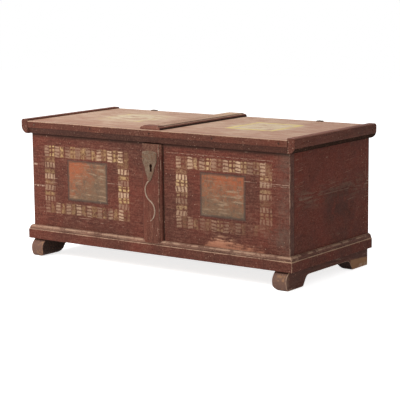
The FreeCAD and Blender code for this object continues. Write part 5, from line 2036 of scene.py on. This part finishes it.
@dataclass(frozen=True)
class ChestLock(Assembly):
    """Lock inside the front: plate, keepers, spring and bolt, and the staple under the lid."""

    plate_y: float = -217.5
    bolt_x: Span = (-72.0, 22.0)
    bolt_y: Span = (-203.5, -193.5)
    bolt_z: Span = (390.0, 402.0)
    notch: Span = (-22.0, -8.0)
    notch_depth: float = 4.0
    keepers: tuple[Span, ...] = ((6.0, 18.0), (-50.0, -38.0))
    ease: float = 0.4
    wall: float = 4.0
    spring_root: Span = (-56.0, 417.2)
    spring_tip: Span = (2.0, 403.2)
    spring_y: Span = (-202.5, -194.5)
    spring: float = 1.6
    spring_bow: float = 3.0
    spring_foot: float = 8.0
    staple_x: Span = (28.0, 36.0)
    staple_y: float = -198.5
    staple_bar: float = 5.0
    staple_ease: float = 0.6
    staple_reach: float = 9.5
    staple_bend: float = 388.0
    staple_top: float = 462.5

    def build(self) -> None:
        """Builds and dresses the lock."""
        iron = Dress(Slot.IRON, [self.finishes.iron])
        make_piece("lock_back_plate", "lock_plate", [self._plate()], iron)
        make_piece("lock_sliding_bolt", "lock_bolt", [self._bolt()], iron, Body.BOLT)
        make_piece("lock_bolt_keepers", "lock_keepers", [self._keeper(span) for span in self.keepers], iron)
        make_piece("lock_bolt_spring", "lock_spring", self._spring(), iron)
        make_piece("lid_lock_staple", "lock_staple", self._staple(), iron, Body.LID)

    def _plate(self) -> Shell:
        """Plate with the keyhole.

        Returns:
            The shell.
        """
        low, high = node_box("lock_plate")
        cut = PlankCut(Wear(0.0, 0.3, 30.0, 3.0, 110), across=8.0, ease=0.6, long_ease=0.6)
        grid = plank(low, high, Axis.X, cut, (0.2, 0.2, 0.2, 0.2), KEYHOLE_X, KEYHOLE_Z)
        return grid.punched(IRON_KEYHOLE, KEYHOLE_WINDOW, (low[1], high[1]))

    def _bolt(self) -> Shell:
        """Bolt from the front, with its notch for the key, carried through its thickness.

        Returns:
            The shell.
        """
        (left, right), (low, high), (start, end) = self.bolt_x, self.bolt_z, self.notch
        roof = low + self.notch_depth
        corners = [
            Corner(left, low, 0.8), Corner(start, low), Corner(start, roof), Corner(end, roof),
            Corner(end, low), Corner(right, low, 1.5), Corner(right, high, 1.5), Corner(left, high, 0.8),
        ]
        grid = carry(
            Section(corners, 6.0), Placing(ORIGIN, X_AXIS, Z_AXIS, Y_AXIS), self.bolt_y, 3.0, UNWORN,
            blunt=(0.7, 0.7), end_inset=0.1)
        return grid.shell()

    def _keeper(self, span: Span) -> Shell:
        """Band round the bolt, standing on the plate: two outlines, joined and given a width.

        Args:
            span: First and last place along its width.

        Returns:
            The shell.
        """
        (near, far), (low, high) = self.bolt_y, self.bolt_z
        outlines = []
        for foot, gap in ((near - self.ease, self.ease), (self.plate_y, self.ease + self.wall)):
            edge, under, over = far + gap, low - gap, high + gap
            outlines.append([(foot, under), (edge, under), (edge, over), (foot, over)])
        loops = np.array(outlines)[[0, 1, 1, 0, 0]]
        across = np.array(span)[[0, 0, 1, 1, 0]]
        return ring_shell(np.insert(loops, 0, across[:, None], axis=2))

    def _spring(self) -> list[Shell]:
        """Bowed leaf that presses on the bolt, and the foot that holds it to the plate.

        Returns:
            Their shells.
        """
        (x, z), tip = self.spring_root, self.spring_tip
        middle = ((x + tip[0]) / 2, (z + tip[1]) / 2 + self.spring_bow)
        path = np.array([(c.u, np.mean(self.spring_y), c.v) for c in bend(self.spring_root, middle, tip, 20)])
        half, wide = self.spring / 2, np.ptp(self.spring_y) / 2
        outline = np.array([(-half, -wide), (half, -wide), (half, wide), (-half, wide)])
        cut = PlankCut(UNWORN, pitch=5.0, across=4.0, ease=0.6, long_ease=0.6)
        low = np.array([x - self.spring_foot, self.plate_y, z - half])
        high = np.array([x, self.spring_y[1], z - half + self.spring_foot])
        return [sweep(path, outline, Y_AXIS).shell(), plank(low, high, Axis.Y, cut).shell()]

    def _staple(self) -> list[Shell]:
        """Bar bent to a U that hangs from its plate, and the plate.

        Returns:
            Their shells.
        """
        turn = np.linspace(0.0, math.pi, 25)
        leg = np.linspace(self.staple_top, self.staple_bend, 12)[:-1]
        reach, ease = self.staple_reach, self.staple_ease
        out = np.full(len(leg), reach)
        y = np.concatenate([out, reach * np.cos(turn), -out]) + self.staple_y
        z = np.concatenate([leg, self.staple_bend - reach * np.sin(turn), leg[::-1]])
        path = np.stack([np.full(len(y), np.mean(self.staple_x)), y, z], axis=1)
        half, wide = self.staple_bar / 2, np.ptp(self.staple_x) / 2
        below = [
            (-half, -wide + ease), (-half + ease, -wide), (half - ease, -wide), (half, -wide + ease)]
        outline = np.array(below + [(-u, -v) for u, v in below])
        cut = PlankCut(UNWORN, pitch=5.0, across=5.0, ease=0.6, long_ease=0.6)
        low, high = node_box("lock_staple")
        low[2] = self.staple_top - 0.5
        return [sweep(path, outline, X_AXIS).shell(), plank(low, high, Axis.X, cut).shell()]


@dataclass(frozen=True)
class NailRow:
    """Nails of one size: name, head centres and the ways they look, length, finish, body and head."""

    name: str
    nails: Sequence[tuple[Point, Point]]
    length: float
    dress: Dress
    body: Body = Body.CHEST
    head: float = 8.0


@dataclass(frozen=True)
class Nails(Assembly):
    """Hand-forged nails: a square shank and a head of four hammered facets."""

    dome: float = 1.5
    shank_share: float = 0.25
    under_head: float = -0.4
    seed: int = 120
    tack_head: float = 6.0
    tack_length: float = 14.0

    def build(self) -> None:
        """Builds and dresses each row."""
        for number, row in enumerate(self._wood_rows() + self._tack_rows()):
            shell = self._row(row, self.seed + number)
            make_piece(f"{row.name}_set", f"{row.name}s", [shell], row.dress, row.body)

    def _template(self, row: NailRow) -> tuple[Array, list[Array]]:
        """Rings of one nail along its own Z, out of the wood.

        Args:
            row: Row of the nail.

        Returns:
            Points of the rings, and the faces between them.
        """
        turn = np.radians(np.arange(8) * 45.0 + 45.0)
        circle = np.stack([np.cos(turn), np.sin(turn)], axis=1)
        square = np.where(np.arange(8) % 2 == 0, 1.0, math.sqrt(0.5))[:, None] * circle
        thin = row.head * self.shank_share * math.sqrt(2.0)
        stations = (
            (square * thin * 0.3, -row.length), (square * thin, -row.length * 0.6),
            (square * thin, self.under_head), (circle * row.head * 0.5, self.under_head),
            (circle * row.head * 0.5, self.dome * 0.35), (square * row.head * 0.3, self.dome),
            (circle * 0.0, self.dome * 1.05))
        rings = np.stack([np.column_stack([loop, np.full(8, height)]) for loop, height in stations])
        return rings.reshape(-1, 3), [ring_quads(len(stations), 8), np.arange(8)[None, ::-1]]

    def _row(self, row: NailRow, seed: int) -> Shell:
        """Every nail of a row: head centre + turned template, each with a turn and a size of its own.

        Args:
            row: The row.
            seed: Choice of turns and sizes.

        Returns:
            The shell of all its nails.
        """
        template, faces = self._template(row)
        heads, out = (np.array(part, float) for part in zip(*row.nails))
        side = np.where(np.abs(out[:, 2:]) > 0.5, X_AXIS, Z_AXIS)
        draw = np.random.default_rng(seed)
        turn = draw.uniform(0.0, 2 * math.pi, len(heads))[:, None]
        first = side * np.cos(turn) + np.cross(out, side) * np.sin(turn)
        frames = np.stack([first, np.cross(out, first), out], axis=2)
        size = draw.uniform(0.9, 1.05, len(heads))
        scale = np.stack([size, size, np.ones(len(heads))], axis=1)
        points = heads[:, None] + np.einsum("nij,nkj->nki", frames, template[None] * scale[:, None])
        shift = np.arange(len(heads))[:, None, None] * len(template)
        joined = [(face[None] + shift).reshape(-1, face.shape[1]) for face in faces]
        return Shell(points.reshape(-1, 3), joined, np.full(points.size // 3, 0.5))

    def _wood_rows(self) -> list[NailRow]:
        """Rows of nails that hold wood, where the frame has them.

        Returns:
            The rows.
        """
        looks = self.finishes
        front, back, up = (0.0, -1.0, 0.0), (0.0, 1.0, 0.0), (0.0, 0.0, 1.0)
        ends = ((-1.0, 0.0, 0.0), (1.0, 0.0, 0.0))
        along = (-520.0, -260.0, 0.0, 260.0, 520.0)
        deep = (-215.0, 5.0, 225.0)
        carcass = [((x, FRONT_Y, z), front) for x in (-537.5, 537.5) for z in (143.0, 310.0, 370.0, 415.0)]
        carcass += [((x, BACK_Y, z), back) for x in (-537.5, 537.5) for z in (143.0, 268.0, 328.0, 415.0)]
        base = [((x, -260.0, 80.5), front) for x in along]
        base += [((end[0] * 565.0, y, 80.5), end) for end in ends for y in deep]
        pilaster = [((x, -257.0, z), front) for x in (-22.0, 22.0) for z in (116.0, 427.0)]
        cleats = [((end[0] * 581.0, y, 477.5), end) for end in ends for y in deep]
        lip = [((x, -266.0, 477.5), front) for x in along]
        batten = [((0.0, y, 503.0), up) for y in (-215.0, -68.333, 78.333, 225.0)]
        both = Dress(Slot.IRON, [looks.front, looks.iron], lambda centre, normal: centre[:, 1] > 0.0)
        return [
            NailRow("carcass_nail", carcass, 40.0, both),
            NailRow("base_moulding_nail", base, 38.5, Dress(Slot.IRON, [looks.moulding_x])),
            NailRow("pilaster_nail", pilaster, 35.5, Dress(Slot.IRON, [looks.pilaster])),
            NailRow("lid_cleat_nail", cleats, 54.0, Dress(Slot.IRON, [looks.cleat]), Body.LID),
            NailRow("lid_moulding_nail", lip, 40.0, Dress(Slot.IRON, [looks.nail]), Body.LID),
            NailRow("lid_batten_nail", batten, 32.0, Dress(Slot.IRON, [looks.batten_top]), Body.LID)]

    def _tack_rows(self) -> list[NailRow]:
        """Rows of tacks that hold iron, where the frame has them.

        Returns:
            The rows.
        """
        front, back, up, down = (0.0, -1.0, 0.0), (0.0, 1.0, 0.0), (0.0, 0.0, 1.0), (0.0, 0.0, -1.0)
        hinges = [x for _, x in Hinges.places]
        shield = [((x, -259.0, z), front) for x in (-31.0, 19.0) for z in (387.0, 407.0)]
        lock = [((x, -217.5, z), back) for x in (-70.0, 50.0) for z in (333.0, 433.0)]
        staple = [((x, -198.5, 462.0), down) for x in (20.0, 44.0)]
        lid_leaf = [((x, 249.0, 493.0), up) for x in hinges]
        back_leaf = [((x, 258.0, z), back) for x in hinges for z in (363.0, 389.0, 415.0, 441.0)]
        rows = (
            ("escutcheon", shield, Body.CHEST), ("lock", lock, Body.CHEST), ("staple", staple, Body.LID),
            ("hinge_lid", lid_leaf, Body.LID), ("hinge_back", back_leaf, Body.CHEST))
        iron = Dress(Slot.IRON, [self.finishes.iron])
        return [
            NailRow(f"{word}_tack", tacks, self.tack_length, iron, body, self.tack_head)
            for word, tacks, body in rows]


@dataclass(frozen=True)
class Studio:
    """Camera, pale floor, white surround and soft light."""

    camera: Point = (3.05847, -4.14291, 1.0534)
    yaw: float = 36.30
    pitch: float = -9.25
    roll: float = -0.61
    lens: float = 133.01
    floor: float = 14.0
    key_from: Point = (-0.354, -0.612, 0.707)
    key_far: float = 4.0
    key_size: float = 2.6
    key_watts: float = 140.0
    surround: float = 0.5
    floor_glow: float = 0.78

    def build(self) -> None:
        """Builds the studio."""
        self._camera()
        self._floor()
        self._surround()
        self._key()

    def _camera(self) -> None:
        """Camera at the photograph's place, from its yaw, pitch and roll."""
        turns = ((self.yaw, "Z"), (self.pitch + 90.0, "X"), (self.roll, "Z"))
        yaw, pitch, roll = (Matrix.Rotation(math.radians(angle), 4, axis) for angle, axis in turns)
        data = bpy.data.cameras.new("photo_camera")
        data.sensor_fit = "HORIZONTAL"
        data.sensor_width = 36.0
        data.lens = self.lens
        camera = bpy.data.objects.new("photo_camera", data)
        camera.matrix_world = Matrix.Translation(self.camera) @ yaw @ pitch @ roll
        bpy.context.scene.collection.objects.link(camera)
        bpy.context.scene.camera = camera

    def _floor(self) -> None:
        """Flat floor that takes the shadow and looks white to the camera where it is lit."""
        half = self.floor / 2
        mesh = bpy.data.meshes.new("studio_floor")
        corners = [(-half, -half, 0.0), (half, -half, 0.0), (half, half, 0.0), (-half, half, 0.0)]
        mesh.from_pydata(corners, [], [(0, 1, 2, 3)])
        material = bpy.data.materials.new("studio_floor")
        material.use_nodes = True
        surface = material.node_tree.nodes["Principled BSDF"]
        surface.inputs["Base Color"].default_value = (0.9, 0.9, 0.9, 1.0)
        surface.inputs["Roughness"].default_value = 1.0
        surface.inputs["Specular IOR Level"].default_value = 0.0
        surface.inputs["Emission Color"].default_value = (1.0, 1.0, 1.0, 1.0)
        graph = Graph(material.node_tree)
        graph.feed(surface.inputs["Emission Strength"], self._seen(graph) * self.floor_glow)
        mesh.materials.append(material)
        floor = bpy.data.objects.new("studio_floor", mesh)
        bpy.context.scene.collection.objects.link(floor)

    def _seen(self, graph: Graph) -> Wire:
        """1 for rays that show the surround itself: seen, mirrored or through glass."""
        path = graph.add("ShaderNodeLightPath")
        rays = ("Is Camera Ray", "Is Glossy Ray", "Is Transmission Ray")
        seen, mirrored, through = (Wire(graph, path.outputs[name]) for name in rays)
        return seen.most(mirrored).most(through)

    def _surround(self) -> None:
        """World: white where it is seen, dimmer as a light."""
        world = bpy.data.worlds.new("studio_surround")
        world.use_nodes = True
        graph = Graph(world.node_tree)
        background = world.node_tree.nodes["Background"]
        background.inputs["Color"].default_value = (1.0, 1.0, 1.0, 1.0)
        graph.feed(background.inputs["Strength"], self._seen(graph) * (1.0 - self.surround) + self.surround)
        bpy.context.scene.world = world
        bpy.context.scene.view_settings.view_transform = "Standard"

    def _key(self) -> None:
        """Large soft lamp from the upper left of the front."""
        data = bpy.data.lights.new("studio_key", "AREA")
        data.shape = "DISK"
        data.size = self.key_size
        data.energy = self.key_watts
        lamp = bpy.data.objects.new("studio_key", data)
        way = Vector(self.key_from).normalized()
        turn = way.to_track_quat("Z", "Y").to_matrix().to_4x4()
        lamp.matrix_world = Matrix.Translation(way * self.key_far) @ turn
        bpy.context.scene.collection.objects.link(lamp)


def main() -> None:
    """Builds the chest's pieces and the studio round them."""
    logging.basicConfig(level=logging.INFO, format="%(message)s")
    finishes = Finishes(Effects())
    kinds = (Carcass, RunnerFeet, BaseMouldings, Pilaster, Escutcheon, Till, Lid, Hinges, ChestLock, Nails)
    for kind in kinds:
        LOG.info("Building %s", kind.__name__)
        kind(finishes).build()
    Studio().build()


if __name__ == "__main__":
    main()
